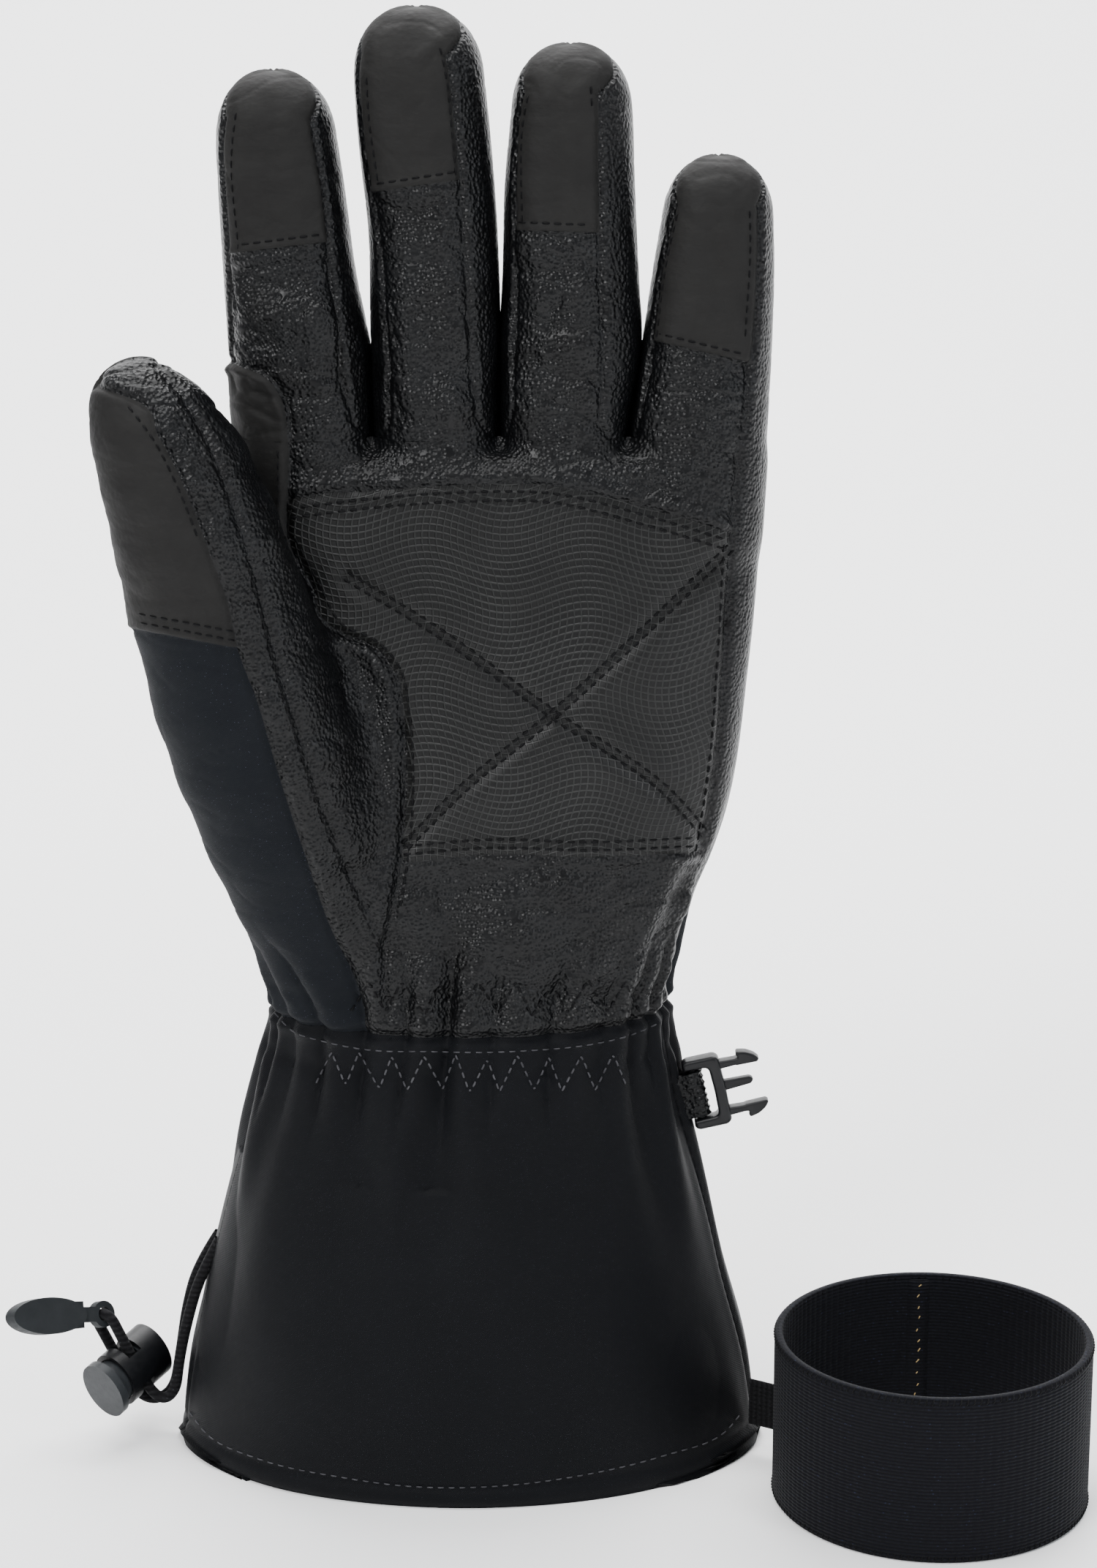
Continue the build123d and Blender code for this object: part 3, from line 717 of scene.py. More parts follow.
side_seam = (line(y + 6, 0.9) * 0.7 - line(np.abs(y + 6) - 2.2, 1.3) * 0.25) * (z < WRIST_Z) * step(z - 4, 2)
relief = relief - side_seam
in_hand = step(below - 3, 1.5)
on_palm = front * in_hand * step(palm_left, 0.5) * step(-palm_right, 0.5) * (1 - on_thumb)
relief = relief - 0.9 * line(palm_right, 1.0) * front * in_hand
relief = relief - 0.95 * line(palm_left, 1.1) * front * in_hand * (1 - on_thumb * (z > 200))
relief = relief + 0.8 * line(palm_left + 2.6, 2.2) * front * in_hand * (Z < 209)
on_patch = step(values["patch"], 0.35)
relief = relief + on_palm * on_patch * 0.45
relief = relief + on_palm * 0.8 * line(patch_top + 1.7, 1.3) - on_palm * 0.5 * line(patch_top - 0.2, 0.6)
relief = relief + on_palm * 0.6 * line(patch_low + 1.2, 1.0) - on_palm * 0.4 * line(patch_low, 0.5)
cross = np.minimum(to_line(X, Z, CROSS_A), to_line(X, Z, CROSS_B))
relief = relief - on_palm * on_patch * (0.8 * line(cross, 1.6) - 0.3 * line(cross - 3.6, 2.0))
bare = on_palm * (1 - on_patch)
crease = 0.35 * line(ripple(points, 13, 5, (0.6, 1, 1.4)), 0.2)
crease = crease + 0.5 * line(ripple(points, 26, 6, (0.5, 1, 1.6)), 0.2)
relief = relief - bare * crease + bare * 0.35 * ripple(points, 18, 8, (0.6, 1, 1.5)) * step(215 - z, 4)
relief = relief + on_palm * on_patch * 0.22 * ripple(points, 24, 9)
behind = step(y - 2, 1.0) * in_hand
knuckle_seam = np.abs(z - 200 - 7 * np.cos((x - 6) / 22))
side_seams = np.abs(np.abs(x - 8 - (z - 104) * 0.03) - 22 - (z - 104) * 0.05)
back_seam = np.minimum(knuckle_seam, np.where(z < 200, side_seams, 99))
relief = relief - behind * (0.75 * line(back_seam, 0.9) - 0.45 * line(back_seam - 3.0, 2.4))
relief = relief - behind * 0.4 * line(ripple(points, 30, 10, (0.8, 1, 1.3)), 0.2)
relief = relief + behind * 0.4 * ripple(points, 40, 11)
knuckles = sum(line(np.hypot(x - knot, (z - 214) * 0.8), 11) for knot in (-35, -7, 21, 48))
relief = relief + behind * 1.1 * np.clip(knuckles, 0, 1)
web_edge = np.where(Z > 206, palm_left, 9.0)
relief = relief + 0.9 * line(web_edge + 1.3, 1.1) * front * in_hand * (1 - on_thumb)
values["front"] = step(-(y - thumb_centre(z)[1]) - 1, 1.0)
relief = relief + thumb_relief(points, values, on_thumb * in_hand * step(-palm_left - 1, 0.8))
relief = relief * np.where(z > FINGER_CUT_Z - 4, np.clip((FINGER_CUT_Z + 6 - z) / 10, 0.4, 1), 1)
relief = np.maximum(relief, np.where(z > 70, -2.6, -0.6))
points = points + normals * relief[:, None]
whole = Skin(points, faces, values).where("hem").where("top").where("hand")
whole.points[:, 2] = np.maximum(whole.points[:, 2], 0.0)
hand_tree = whole.tree()
cuff = whole.where("wrist", -1)
cuff.where("cuff_back", -1).piece("cuff_front_shell", CUFF, "glove", "cuff_shell", ("cuff_front",), CUFF_WALL)
behind_cuff = ("cuff_back", "wrist_elastic", "drawcord_channel")
cuff.where("cuff_back").piece("cuff_back_shell", CUFF, "glove", "cuff_shell", behind_cuff, CUFF_WALL)
upper = whole.where("wrist")
upper.where("back").piece("back_of_hand", SHELL, "glove", "softshell", ("backhand_panel", "hand_insulation"))
palm_side = upper.where("back", -1)
palm_side.where("side").piece("hand_side_leather", BLACK, "glove", "black_leather")
palm_side = palm_side.where("side", -1)
palm = palm_side.where("left", -1)
palm.where("patch").piece("grip_patch", GRIP, "glove", "grip_leather", ("palm_grip_patch",))
palm.where("patch", -1).piece("palm_panel", BLACK, "glove", "black_leather", ("palm_leather",))
base = palm_side.where("left")
base.where("crotch").piece("thumb_web_patch", TOUCH, "glove", "touch_leather", ("crotch_patch",))
base = base.where("crotch", -1)
outer = base.where("outer")
outer.where("cap").piece("thumb_cap_skirt", TOUCH, "glove", "touch_leather")
outer.where("cap", -1).piece("thumb_base_shell", SHELL, "glove", "softshell", ("thumb_base_softshell",))
inner = base.where("outer", -1)
inner.where("pad").piece("thumb_base_pad", BLACK, "glove", "black_leather", ("thumb_base_leather",))
inner.where("pad", -1).piece("thumb_base_strip", BLACK, "glove", "black_leather")

LINING_DEPTH = 5.0
points, faces, _ = skin(lambda x, y, z: trunk(x, y, z) + LINING_DEPTH, (-50, -34, 98), (64, 34, 228), 2.0)
lining = Skin(points, faces, {"above": points[:, 2] - WRIST_Z + 2}).where("above")
lining.piece("hand_pile_lining", FLEECE, "glove", "fleece", ("hand_lining",))

# ---- thumb ----
thumb_low = [min(c[i] - c[3] for c in THUMB[6:]) - 3 for i in range(3)]
thumb_high = [max(c[i] + c[3] for c in THUMB[6:]) + 3 for i in range(3)]
thumb_low[2] = 196


points, faces, normals = skin(thumb, thumb_low, thumb_high, FINER)
values = thumb_values(points)
x, y, z = points.T
values["above"] = thumb_height(x, y, z)
values["front"] = step(-(y - thumb_centre(z)[1]) - 1, 1.0)
points = points + normals * thumb_relief(points, values, np.ones(len(points)))[:, None]
whole = Skin(points, faces, values).where("above")
thumb_tree = whole.tree()
THUMB_START = tuple(THUMB_PLANE[0] * MM)
THUMB_END = tuple((THUMB_PLANE[0] + 16 * THUMB_PLANE[1]) * MM)
cap, inner = whole.where("outer"), whole.where("outer", -1)
pad, strip = inner.where("pad"), inner.where("pad", -1)
thumb_pieces = [
    cap.piece("thumb_cap_leather", TOUCH, None, "touch_leather", ("thumb_cap", "thumb_back_panel")),
    pad.piece("thumb_pad_leather", BLACK, None, "black_leather", ("thumb_pad", "thumb_lining")),
    strip.piece("thumb_strip_leather", BLACK, None, "black_leather", ("thumb_strip",)),
]

# ---- fingers ----
# seams beside the front panel as (z, x), the cap's lower edge as (x, z) at its two ends
FINGER_SEAMS = {
    "index": (
        [(232, -48.9), (250, -49.5), (270.2, -49.4), (291.1, -50.4), (300, -49.2)],
        [(230.3, -19.8), (235.1, -23.8), (245.5, -26), (262.8, -27.4), (274.2, -28.5), (284, -29.4),
         (296.8, -31.5)],
        (-48.2, 270.2, -28.5, 272.5)),
    "middle": (
        [(231, -18.6), (235.1, -16.6), (248.4, -16.1), (268.5, -17.6), (284.9, -19.7), (298, -21.4),
         (308.1, -21.9)],
        [(230.3, 6.0), (236.8, 2.2), (257, 0.6), (286.4, -0.9), (296.6, -1.8), (306.7, -2.8), (314.2, -4.4)],
        (-19.4, 282.9, -1.2, 285.5)),
    "ring": (
        [(230, 8.0), (239, 10.1), (252.2, 9.8), (276.3, 10.6), (298.7, 11.1), (304, 12.2)],
        [(226.1, 33), (231, 31.0), (235.7, 28.4), (258.7, 28.4), (274.3, 28.2), (300.7, 27.7), (306, 27.4)],
        (10.4, 274.9, 28.1, 274.3)),
    "little": (
        [(226, 33.8), (232, 36.0), (240, 37.4), (252.2, 39.2), (268.5, 41.3), (280.8, 44.0)],
        [(214.9, 58.1), (232.4, 58.6), (246.9, 59.7), (252.2, 60.5), (271.7, 61.3), (281, 61.0)],
        (39.2, 251.6, 59.7, 246.9)),
}
BODY_OF = {name: f"{name}_finger" for name in FINGERS}
# a panel's CAD node and the piece that stands for it
PANEL_NAMES = {
    "cap": "cap_leather",
    "front_panel": "front_leather",
    "side_walls": "side_leather",
    "back_panel": "back_shell",
}
blended = [(piece, "thumb", THUMB_START, THUMB_END) for piece in thumb_pieces]
finger_trees = {}


def seam_angles(name, rows):
    """Seam rows as angles round the finger, from the middle of its front."""
    rows = np.array(rows, float)
    centre, wide, _, tip, rounding = finger_size(name, rows[:, 0])
    over = np.clip((rows[:, 0] - (tip - rounding)) / rounding, 0, 0.97)
    wide = wide * (1 - over**FINGER_SQUARE) ** (1 / FINGER_SQUARE)
    q = np.clip((rows[:, 1] - centre) / wide, -0.985, 0.985)
    return rows[:, 0], np.arctan2(q, (1 - np.abs(q) ** FINGER_SQUARE) ** (1 / FINGER_SQUARE))


for order, name in enumerate(FINGERS):
    rows, tip, rounding = FINGERS[name]
    left_seam, right_seam, cap_edge = FINGER_SEAMS[name]
    low = (min(r[1] for r in rows) - 3, -18, 228)
    high = (max(r[2] for r in rows) + 3, 18, tip + 3)
    points, faces, normals = skin(one_finger(name), low, high, FINER)
    x, y, z = points.T
    X, Z = seen(points)
    centre, wide, deep, _, _ = finger_size(name, z)
    around = np.arctan2((x - centre) / wide, -y / deep)
    girth = (wide + deep) / 2
    closing = np.clip((z - (tip - 9)) / 9, 0, 1)
    opening = np.clip((z - 231) / 16, 0, 1)
    zs, left_angles = seam_angles(name, left_seam)
    zr, right_angles = seam_angles(name, right_seam)
    left_angle = np.interp(z, zs, left_angles) * (1 - closing) - radians(86) * closing
    right_angle = np.interp(z, zr, right_angles) * (1 - closing) + radians(86) * closing
    back_angle = radians(96) + radians(34) * opening * (1 - closing) - radians(6) * closing
    cap_z = cap_edge[1] + (X - cap_edge[0]) * (cap_edge[3] - cap_edge[1]) / (cap_edge[2] - cap_edge[0])
    values = {
        "base": z - FINGER_CUT_Z,
        "front": np.minimum(around - left_angle, right_angle - around) * girth,
        "back": (np.abs(around) - back_angle) * girth,
        "cap": Z - cap_z,
        "web": np.minimum(-from_side(X, Z, PALM_LEFT), 246.5 - Z) if name == "index" else -np.ones(len(x)),
    }
    on_front = step(values["front"], 0.4)
    facing = step(-y, 1.0)
    on_web = step(values["web"], 0.4) * facing
    relief = -0.75 * line(values["front"], 0.65) * (1 - on_web) - 0.6 * line(values["back"], 0.7)
    relief = relief + 0.2 * line(values["front"] + 1.6, 1.2) * (1 - on_web)
    relief = relief + 0.45 * line(values["front"] - 4.5, 3.2)
    folded = 0.3 * line(values["cap"] - 0.6, 0.6) - 0.35 * line(values["cap"] + 0.5, 0.6)
    relief = relief + on_front * (0.3 * step(values["cap"], 0.3) + folded)
    bare = on_front * step(-values["cap"], 0.5)
    crease = 0.45 * line(ripple(points, 15, 40 + order, (0.45, 0.6, 1.5)), 0.2)
    crease = crease + 0.3 * line(ripple(points, 8, 50 + order, (0.6, 0.8, 1.3)), 0.22)
    swell = 0.45 * ripple(points, 17, 60 + order, (0.5, 0.5, 1.3))
    on_back = step(values["back"], 0.5)
    relief = relief + bare * (swell - crease) - (1 - on_front) * 0.2 * crease * (1 - on_back)
    relief = relief - on_front * step(values["cap"], 0.5) * 0.15 * line(ripple(points, 16, 70 + order), 0.2)
    relief = relief - on_back * 0.25 * line(ripple(points, 22, 80 + order, (0.6, 0.6, 1.3)), 0.2)
    if name == "index":
        ridge = 0.7 * line(values["web"] - 1.2, 1.0) - 0.6 * line(values["web"] + 0.6, 0.8)
        relief = relief + on_web * 0.5 + facing * ridge
    fade = np.clip((z - FINGER_CUT_Z + 4) / 10, 0.4, 1)
    points = points + normals * (relief * fade)[:, None]
    whole = Skin(points, faces, values).where("base")
    finger_trees[name] = whole.tree()
    made = []
    if name == "index":
        made.append(whole.where("web").piece("index_web_patch", TOUCH, None, "touch_leather"))
        whole = whole.where("web", -1)
    panel = whole.where("front")
    rest = whole.where("front", -1)
    for part, cut, look, slot, nodes in (
        (panel, ("cap",), TOUCH, "touch_leather", ("cap",)),
        (panel, ("cap", -1), BLACK, "black_leather", ("front_panel",)),
        (rest, ("back", -1), BLACK, "black_leather", ("side_walls",)),
        (rest, ("back",), SHELL, "softshell", ("back_panel", "lining")),
    ):
        label = PANEL_NAMES[nodes[0]]
        replaced = tuple(f"{name}_{node}" for node in nodes)
        made.append(part.where(*cut).piece(f"{name}_{label}", look, None, slot, replaced))
    middle = float((rows[1][1] + rows[1][2]) / 2)
    start, end = (middle * MM, 0, (FINGER_CUT_Z + 0.2) * MM), (middle * MM, 0, (FINGER_CUT_Z + 16) * MM)
    blended += [(piece, BODY_OF[name], start, end) for piece in made]


# ---- stitches ----
def stitch(points, faces, a, b, up, radius):
    """One thread stitch between two points on a surface: a bead with sunk ends."""
    a, b, up = Vector(a), Vector(b), Vector(up)
    along = b - a
    across = up.cross(along).normalized()
    base = len(points)
    profile = ((0.0, 0.35, -0.25), (0.12, 0.9, 0.12), (0.5, 1.0, 0.28), (0.88, 0.9, 0.12), (1.0, 0.35, -0.25))
    for t, width, lift in profile:
        middle = a + along * t + up * lift * radius * 2
        for k in range(6):
            turn = tau * k / 6
            reach = across * cos(turn) + up * sin(turn)
            points.append(tuple(middle + reach * radius * width))
    for row in range(len(profile) - 1):
        for k in range(6):
            p, q = base + row * 6 + k, base + row * 6 + (k + 1) % 6
            faces.append((p, q, q + 6, p + 6))
    faces.append(tuple(base + k for k in reversed(range(6))))
    faces.append(tuple(base + (len(profile) - 1) * 6 + k for k in range(6)))


def along_line(points, pitch, start=0.0):
    """Places at an even pitch along a broken line."""
    points = np.asarray(points, float)
    runs = np.concatenate([[0], np.cumsum(np.linalg.norm(np.diff(points, axis=0), axis=1))])
    steps = np.arange(start, runs[-1], pitch)
    return np.stack([np.interp(steps, runs, points[:, i]) for i in range(points.shape[1])], axis=1)


def smooth_line(points, count=60):
    points = np.asarray(points, float)
    runs = np.concatenate([[0], np.cumsum(np.linalg.norm(np.diff(points, axis=0), axis=1))])
    steps = np.linspace(0, runs[-1], count)
    return np.stack([flow(steps, runs, points[:, i]) for i in range(points.shape[1])], axis=1)


def beside(points, distance):
    """The same line moved sideways, to its left."""
    points = np.asarray(points, float)
    heading = np.gradient(points, axis=0)
    heading /= np.linalg.norm(heading, axis=1)[:, None]
    return points + distance * np.stack([-heading[:, 1], heading[:, 0]], axis=1)


def drop(tree, X, Z):
    """The first point of a surface behind a place on the plane y = 0."""
    place = Vector((X, 0, Z))
    hit, normal, _, _ = tree.ray_cast(EYE, (place - EYE).normalized())
    return hit, normal


def sew(name, tree, lines, dash=1.9, gap=0.9, radius=0.24, material=THREAD, body="glove"):
    """Rows of stitches on the side towards the palm, from lines on the plane y = 0."""
    points, faces = [], []
    for row in lines:
        places = along_line(row, dash + gap)
        ends = along_line(row, dash + gap, dash)
        for (ax, az), (bx, bz) in zip(places, ends):
            a, up = drop(tree, ax, az)
            b, _ = drop(tree, bx, bz)
            if a is None or b is None or (a - b).length > 2.2 * dash or (a - b).length < 0.3:
                continue
            stitch(points, faces, a, b, up, radius)
    if points:
        return keep_piece(name, mesh_data(name, points, faces), material, body, "seam_thread")


def zigzag(left, right, height, pitch, swing, wander):
    count = int((right - left) / pitch * 2)
    rng = np.random.default_rng(7)
    row = []
    for k in range(count + 1):
        place = left + k * pitch / 2
        shift = rng.uniform(-0.6, 0.6)
        rise = (swing if k % 2 else -swing) + rng.uniform(-0.5, 0.5)
        row.append((place + shift, height + rise + wander(place)))
    return row


def slice_line(curve, low, high):
    return [(x, z) for z, x in curve if low <= z <= high]


right_line = smooth_line(slice_line(PALM_RIGHT, 137, 210))
left_line = smooth_line(slice_line(PALM_LEFT, 125, 209))
top_line, low_line = smooth_line(PATCH_TOP[1:-1]), smooth_line(PATCH_LOW[1:-1])
sew("patch_stitching", hand_tree, [
    beside(top_line, -1.6), beside(top_line, -3.6), beside(low_line, 1.5), beside(low_line, 3.4),
    beside(smooth_line(CROSS_A), 0.9), beside(smooth_line(CROSS_A), -0.9),
    beside(smooth_line(CROSS_B), 0.9), beside(smooth_line(CROSS_B), -0.9),
    beside(left_line, -1.6), beside(right_line, 1.6),
], 1.7, 0.9, 0.27)
upper_zigzag = zigzag(-27, 39, 104.0, 8.2, 3.8, lambda p: 0.0005 * (p - 5) ** 2)
lower_zigzag = zigzag(-35, 38, 86.2, 7.0, 4.2, lambda p: 0.0012 * (p - 2) ** 2)
wrist_line = smooth_line([
    (-43.1, 101.4), (-39.1, 97.1), (-33.6, 95.2), (-22, 92.9), (-9.5, 92.6), (3.6, 92.4), (12.6, 92.8),
    (26.4, 94.2), (35.4, 96.4), (42.3, 99.5),
])
hem_line = smooth_line([
    (-65.4, 4), (-61.3, -1.9), (-49.4, -8), (-30.2, -12.6), (-15.7, -14.8), (2.8, -15), (21.1, -12.8),
    (44.1, -7.1), (57.8, -1.5), (62.7, 4.9),
])
sew("upper_zigzag_stitches", hand_tree, [upper_zigzag], 1.8, 0.8, 0.26)
sew("wrist_zigzags", hand_tree, [lower_zigzag], 1.5, 0.8, 0.24, PALE_THREAD)
sew("cuff_topstitching", hand_tree, [beside(wrist_line, -1.0), hem_line], 1.5, 1.0, 0.18, PALE_THREAD)
sew("thumb_base_stitching", hand_tree, [
    beside(smooth_line(slice_line(STRIP_RIGHT, 104, 206)), 1.3),
    [(-50.9, 186.0), (-72.6, 190.2)], [(-51.2, 188.0), (-72.9, 192.2)],
], 1.6, 0.8, 0.22)
web_line = smooth_line(slice_line(PALM_LEFT, 206, 231.5))
sew("web_patch_stitching", hand_tree, [beside(web_line, 2.0)], 1.7, 0.8, 0.22)
for name in FINGERS:
    left_seam, right_seam, cap_edge = FINGER_SEAMS[name]
    x0, z0, x1, z1 = cap_edge
    piece = sew(f"{name}_stitching", finger_trees[name], [
        [(x0 + 0.6, z0 + 1.6), (x1 - 0.6, z1 + 1.6)],
        beside(smooth_line(slice_line(left_seam, z0, 330)), -1.2),
        beside(smooth_line(slice_line(right_seam, z0, 330)), 1.2),
    ], 1.7, 0.8, 0.22, THREAD, None)
    rows = FINGERS[name][0]
    middle = float((rows[1][1] + rows[1][2]) / 2)
    start, end = (middle * MM, 0, (FINGER_CUT_Z + 0.2) * MM), (middle * MM, 0, (FINGER_CUT_Z + 16) * MM)
    blended.append((piece, BODY_OF[name], start, end))
thumb_row = sew("thumb_stitching", thumb_tree, [
    beside(smooth_line(slice_line(STRIP_LEFT, 204, 240)), 1.3),
    [(-46, 204.5), (-44, 208), (-41.5, 212.5)],
], 1.7, 0.8, 0.22, THREAD, None)
blended.append((thumb_row, "thumb", THUMB_START, THUMB_END))
for piece, body, start, end in blended:
    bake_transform(piece)


# ---- leash band ----
BAND_C = (101.9, -33.0)
BAND_R, BAND_T, BAND_H = 35.0, 1.8, 38.0
RIBS, PER_RIB, OVERLOCK_TURNS = 116, 6, 150
profile = []
for k in range(13):
    profile.append((BAND_R, 0.6 + (BAND_H - 1.2) * k / 12, 0.1))
profile += [(BAND_R - 0.3, BAND_H - 0.15, 0.0), (BAND_R - BAND_T + 0.3, BAND_H - 0.15, 0.0)]
for k in range(12, -1, -1):
    profile.append((BAND_R - BAND_T, 0.6 + (BAND_H - 1.2) * k / 12, -0.18))
profile += [(BAND_R - BAND_T + 0.3, 0.15, 0.0), (BAND_R - 0.3, 0.15, 0.0)]
points = []
columns = RIBS * PER_RIB
for k in range(columns):
    turn = tau * k / columns
    rib = abs(sin(turn * RIBS / 2)) - 0.5
    for radius, height, depth in profile:
        r = radius - 0.2 + rib * depth
        points.append((BAND_C[0] + r * cos(turn), BAND_C[1] + r * sin(turn), height))
faces = grid_faces(columns, len(profile), True, True)
keep_piece("wrist_band", mesh_data("wrist_band", points, faces), ELASTIC, "leash", "elastic", ("leash_band",))
for label, height in (("top", BAND_H - 1.0), ("bottom", 1.0)):
    thread = []
    for k in range(OVERLOCK_TURNS * 8 + 1):
        turn, twist = tau * k / (OVERLOCK_TURNS * 8), tau * k / 8
        r = BAND_R - BAND_T / 2 - 0.1 + 0.95 * cos(twist)
        thread.append((BAND_C[0] + r * cos(turn), BAND_C[1] + r * sin(turn), height + 0.75 * sin(twist)))
    overlock = curve_data(f"band_overlock_{label}", [thread], 0.2, 1)
    keep_piece(f"band_overlock_{label}", overlock, THREAD, "leash", "seam_thread")

# flat seam inside the band, sewn with one row of gold thread
points, faces = [], []
seam_r = BAND_R - BAND_T - 0.3
for k in range(12):
    for j in range(5):
        turn = pi / 2 + radians(-4 + 2 * j)
        bulge = 0.5 * (1 - abs(j - 2) / 2) ** 0.5
        r = seam_r - bulge + 0.25
        points.append((BAND_C[0] + r * cos(turn), BAND_C[1] + r * sin(turn), 1.2 + k * (BAND_H - 2.4) / 11))
faces = grid_faces(12, 5)
seam_data = mesh_data("band_seam", points, faces)
keep_piece("band_seam", seam_data, ELASTIC, "leash", "elastic", ("leash_band_seam",), 0.3)
points, faces = [], []
rng = np.random.default_rng(12)
for k in range(13):
    height = 2.6 + k * 2.7
    turn = pi / 2 + radians(0.3 + rng.uniform(-0.5, 0.5))
    r = seam_r - 0.35
    a = Vector((BAND_C[0] + r * cos(turn), BAND_C[1] + r * sin(turn), height + rng.uniform(-0.3, 0.3)))
    b = a + Vector((rng.uniform(0.3, 0.9), 0, rng.uniform(0.5, 1.1)))
    stitch(points, faces, a, b, Vector((0, -1, 0)), 0.18)
gold_data = mesh_data("band_seam_stitches", points, faces)
keep_piece("band_seam_stitches", gold_data, GOLD_THREAD, "leash", "seam_thread")


# ---- straps ----
def ribbon(centres, across, width, ribs, rib_depth, rows):
    """A flat strap along its middle line, with ribs along it; its wall is added as a modifier."""
    centres = smooth_line(centres, rows)
    heading = np.gradient(centres, axis=0)
    heading /= np.linalg.norm(heading, axis=1)[:, None]
    across = np.asarray(across, float)
    normal = np.cross(heading, across)
    normal /= np.linalg.norm(normal, axis=1)[:, None]
    columns = ribs * 4 + 1
    points = []
    for centre, up in zip(centres, normal):
        for j in range(columns):
            t = j / (columns - 1) - 0.5
            rib = rib_depth * abs(sin(pi * ribs * (t + 0.5)))
            points.append(centre + across * width * t + up * rib)
    return points, grid_faces(rows, columns)


pivot = np.array((64.0, -10.0))
to_band = np.array(BAND_C) - pivot
reach = np.linalg.norm(to_band)
to_band /= reach
strap_line = [(*(pivot + to_band * s), 11.5) for s in (-0.5, (reach - BAND_R) * 0.5, reach - BAND_R + 0.3)]
points, faces = ribbon(strap_line, (0, 0, 1), 10.0, 9, 0.22, 16)
strap_data = mesh_data("leash_webbing", points, faces)
keep_piece("leash_webbing", strap_data, WEBBING, "leash", "webbing", ("leash_strap",), 1.2)

BUCKLE_C = np.array((52.8, -3.0, 83.4))
lean = radians(13.0)
buckle_x, buckle_v = np.array((cos(lean), 0, sin(lean))), np.array((-sin(lean), 0, cos(lean)))
front_half = [(-7.4, 1.9), (-4.5, 2.1), (-2.2, 2.15), (-0.6, 1.5)]
loop = front_half + [(0.1, 0.0)] + [(u, -w) for u, w in reversed(front_half)]
loop_line = [BUCKLE_C + buckle_x * u + np.array((0, w, 0)) for u, w in loop]
points, faces = ribbon(loop_line, buckle_v, 10.2, 7, 0.3, 40)
points = np.array(points) + 0.18 * ripple(np.array(points), 5, 21)[:, None] * np.array((0, 1, 0))
loop_data = mesh_data("buckle_loop", points, faces)
keep_piece("buckle_loop", loop_data, BLACK, "glove", "webbing", ("buckle_tab",), 0.7)


# ---- buckle ----
def plate(name, outlines, origin, across, up, half, round_edge, **kept):
    """A flat moulded piece with round edges, from closed outlines; inner outlines are holes."""
    flat = bpy.data.curves.new(name, "CURVE")
    flat.dimensions = "2D"
    flat.fill_mode = "BOTH"
    flat.extrude = half - round_edge
    flat.bevel_depth = round_edge
    flat.offset = -round_edge
    flat.bevel_resolution = 3
    for outline in outlines:
        spline = flat.splines.new("POLY")
        spline.points.add(len(outline) - 1)
        for point, (u, v) in zip(spline.points, outline):
            point.co = (u, v, 0, 1)
        spline.use_cyclic_u = True
    made = as_mesh(flat)
    out = np.cross(across, up)
    rows = [[across[i] * MM, up[i] * MM, out[i] * MM, origin[i] * MM] for i in range(3)]
    turn = Matrix(rows + [[0, 0, 0, 1]])
    made.transform(turn)
    made.polygons.foreach_set("use_smooth", [True] * len(made.polygons))
    return keep_piece(name, made, **kept)


def rounded(points, radius, steps=5):
    """A closed outline with every corner rounded."""
    points = np.asarray(points, float)
    result = []
    for before, corner, after in zip(np.roll(points, 1, 0), points, np.roll(points, -1, 0)):
        to_before, to_after = before - corner, after - corner
        reach_in = min(radius, 0.45 * np.linalg.norm(to_before), 0.45 * np.linalg.norm(to_after))
        a = corner + to_before / np.linalg.norm(to_before) * reach_in
        b = corner + to_after / np.linalg.norm(to_after) * reach_in
        for t in np.linspace(0, 1, steps):
            result.append((1 - t) ** 2 * a + 2 * t * (1 - t) * corner + t**2 * b)
    return result


# outlines in the buckle's own plane: u towards the prongs, v across the webbing
PRONG_V = 5.6
BAR_U, BAR_R = -2.2, 1.1
PLASTIC_FINISH = {"material": PLASTIC, "slot": "black_plastic"}
frame_outline = rounded([
    (-4.2, -7.6), (-3.2, -8.2), (3.2, -8.2), (4.2, -7.4), (4.4, 0), (4.2, 7.4), (3.2, 8.2), (-3.2, 8.2),
    (-4.2, 7.6), (-4.2, 5.9), (1.6, 5.8), (1.8, 0), (1.6, -5.8), (-4.2, -5.9),
], 1.2)
plate(
    "buckle_frame_rails", [frame_outline], BUCKLE_C, buckle_x, buckle_v, 2.1, 0.75,
    body="buckle", replaced=("buckle_frame",), **PLASTIC_FINISH)
bar = [(BAR_R * cos(t), BAR_R * sin(t)) for t in np.arange(0, tau, tau / 20)]
plate(
    "buckle_bar", [bar], BUCKLE_C + buckle_x * BAR_U, buckle_x, np.array((0, 1, 0)), 6.4, 0.2,
    body="buckle", **PLASTIC_FINISH)
guide = rounded([(3.6, -1.2), (10.2, -0.75), (10.9, 0.1), (10.2, 0.95), (3.6, 1.2)], 0.5)
plate(
    "buckle_guide", [guide], BUCKLE_C + buckle_v * 0.5, buckle_x, buckle_v, 1.0, 0.4,
    body="buckle", **PLASTIC_FINISH)
prong = [
    (3.7, -0.95), (7.6, -0.75), (8.0, -0.9), (12.6, -1.0), (13.1, -0.4), (12.2, 0.8), (10.4, 1.9),
    (8.4, 2.3), (8.1, 1.6), (8.5, 0.9), (7.6, 0.75), (3.7, 0.95),
]
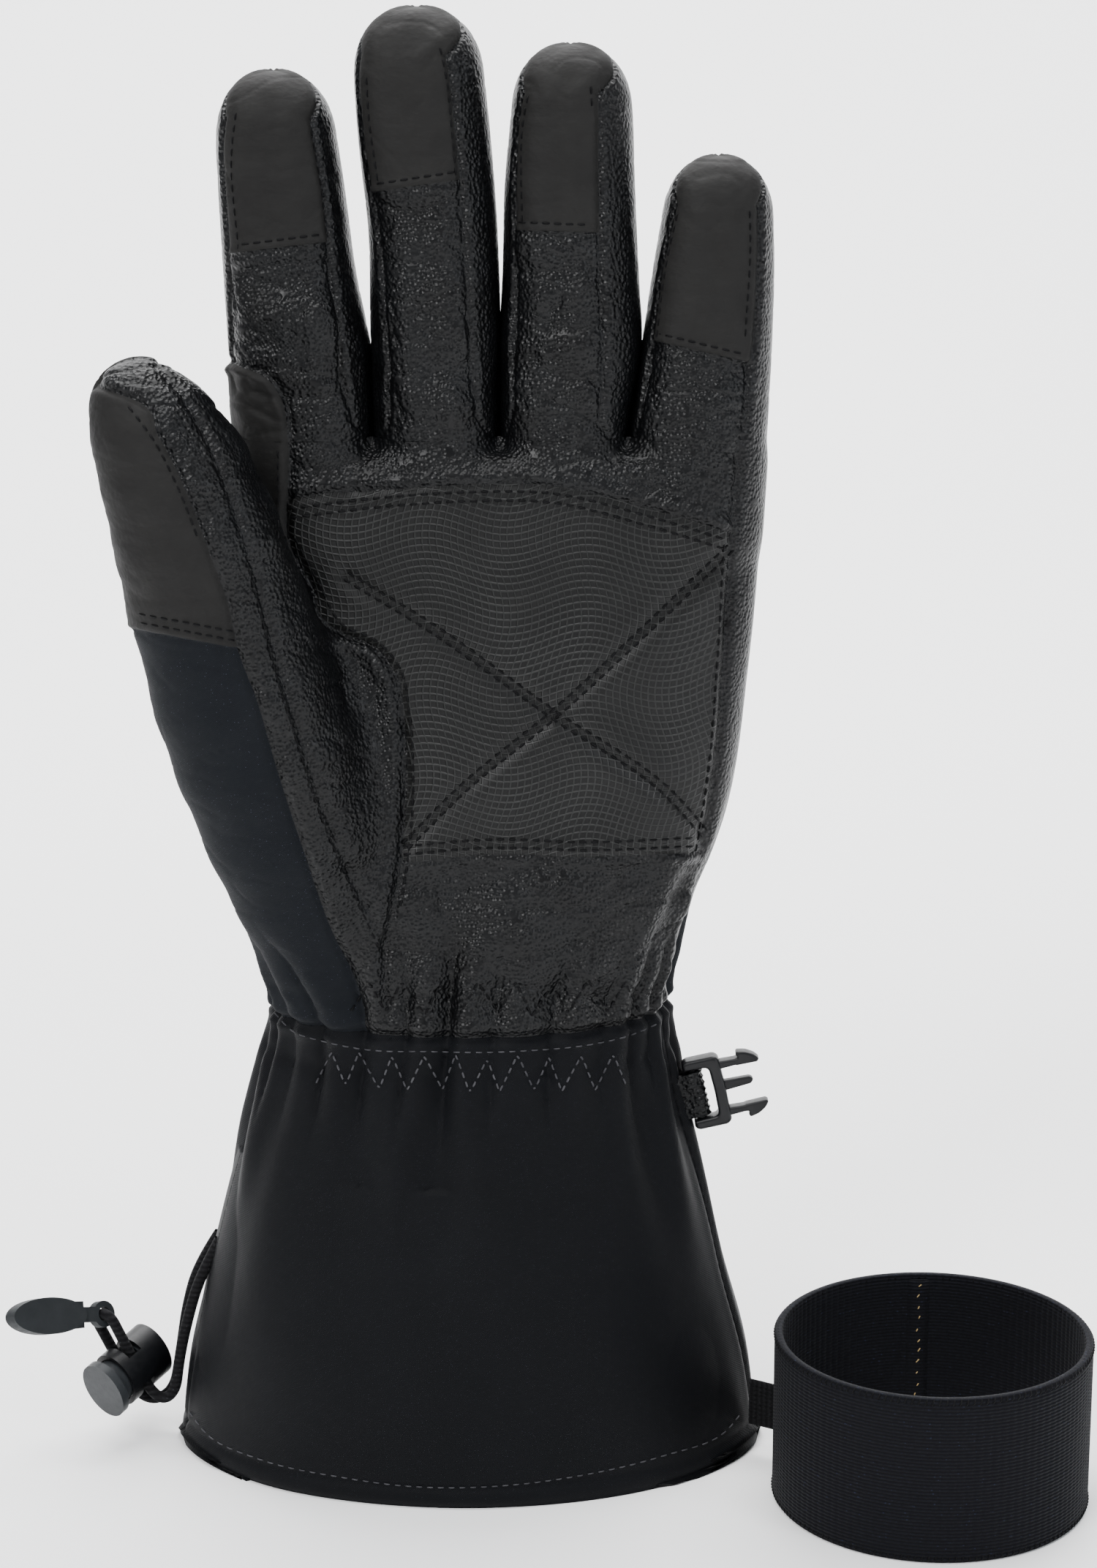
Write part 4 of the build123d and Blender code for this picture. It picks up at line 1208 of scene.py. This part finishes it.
for label, side in (("upper", 1), ("lower", -1)):
    outline = rounded([(u, side * (PRONG_V + v)) for u, v in prong][::side], 0.7)
    plate(
        f"buckle_barb_{label}", [outline], BUCKLE_C, buckle_x, buckle_v, 1.5, 0.5,
        body=f"prong_{label}", replaced=(f"buckle_prong_{label}",), **PLASTIC_FINISH)

# ---- carried-over CAD nodes ----
SLOT_LOOK = {
    "black_plastic": PLASTIC, "grey_rubber": RUBBER, "spring_steel": STEEL, "fleece": FLEECE, "insulation": FLEECE,
    "elastic": ELASTIC, "webbing": WEBBING, "cord_braid": BRAID, "cuff_shell": CUFF, "softshell": SHELL,
    "black_leather": BLACK, "touch_leather": TOUCH, "grip_leather": GRIP, "seam_thread": THREAD,
}
for row in frame["record"]["subparts"]:
    node = NODES[row["node"]]
    look = LOCK_GREY if row["node"].startswith("cord_lock_plunger") else SLOT_LOOK[row["material_slot"]]
    for holder in node.material_slots:
        holder.material = look

# ---- floor and light ----
floor_look = Look("floor", (0.86, 0.86, 0.86), 0.9)
floor_look.paint(floor_look.noise(400, 2), [(0.3, (0.85, 0.85, 0.85)), (0.7, (0.88, 0.88, 0.88))])
bend, rise, reach_x = 900.0, 900.0, 2500.0
points = []
quarter = [pi / 2 * t / 12 for t in range(13)]
outline = [(-1800, 0)]
outline += [(700 + bend * sin(t), bend * (1 - cos(t))) for t in quarter]
outline += [(700 + bend, bend + rise)]
for back, up in outline:
    points += [(-reach_x, back, up), (reach_x, back, up)]
sweep = bpy.data.objects.new("floor", mesh_data("floor", points, grid_faces(len(outline), 2)))
sweep.data.materials.append(floor_look.material)
bpy.context.scene.collection.objects.link(sweep)

world = bpy.data.worlds.new("studio")
bpy.context.scene.world = world
world.use_nodes = True
world.node_tree.nodes["Background"].inputs["Color"].default_value = (0.93, 0.95, 1.0, 1)
world.node_tree.nodes["Background"].inputs["Strength"].default_value = 0.5


def softbox(name, place, target, size, power, colour=(1, 1, 1)):
    light = bpy.data.lights.new(name, "AREA")
    light.shape = "RECTANGLE"
    light.size, light.size_y = size
    light.energy = power
    light.color = colour
    lamp = bpy.data.objects.new(name, light)
    lamp.location = place
    lamp.rotation_euler = (Vector(target) - Vector(place)).to_track_quat("-Z", "Y").to_euler()
    bpy.context.scene.collection.objects.link(lamp)


softbox("key", (-0.7, -1.1, 1.2), (0, 0, 0.18), (0.6, 0.6), 26)
softbox("fill", (1.2, -1.0, 0.7), (0, 0, 0.15), (0.4, 1.0), 10, (0.93, 0.96, 1.0))
softbox("top", (0.0, -0.1, 1.4), (0, 0, 0.15), (1.0, 0.5), 18)
softbox("back", (0.0, 1.0, 1.7), (0, 1.3, 0), (2.4, 1.0), 90)
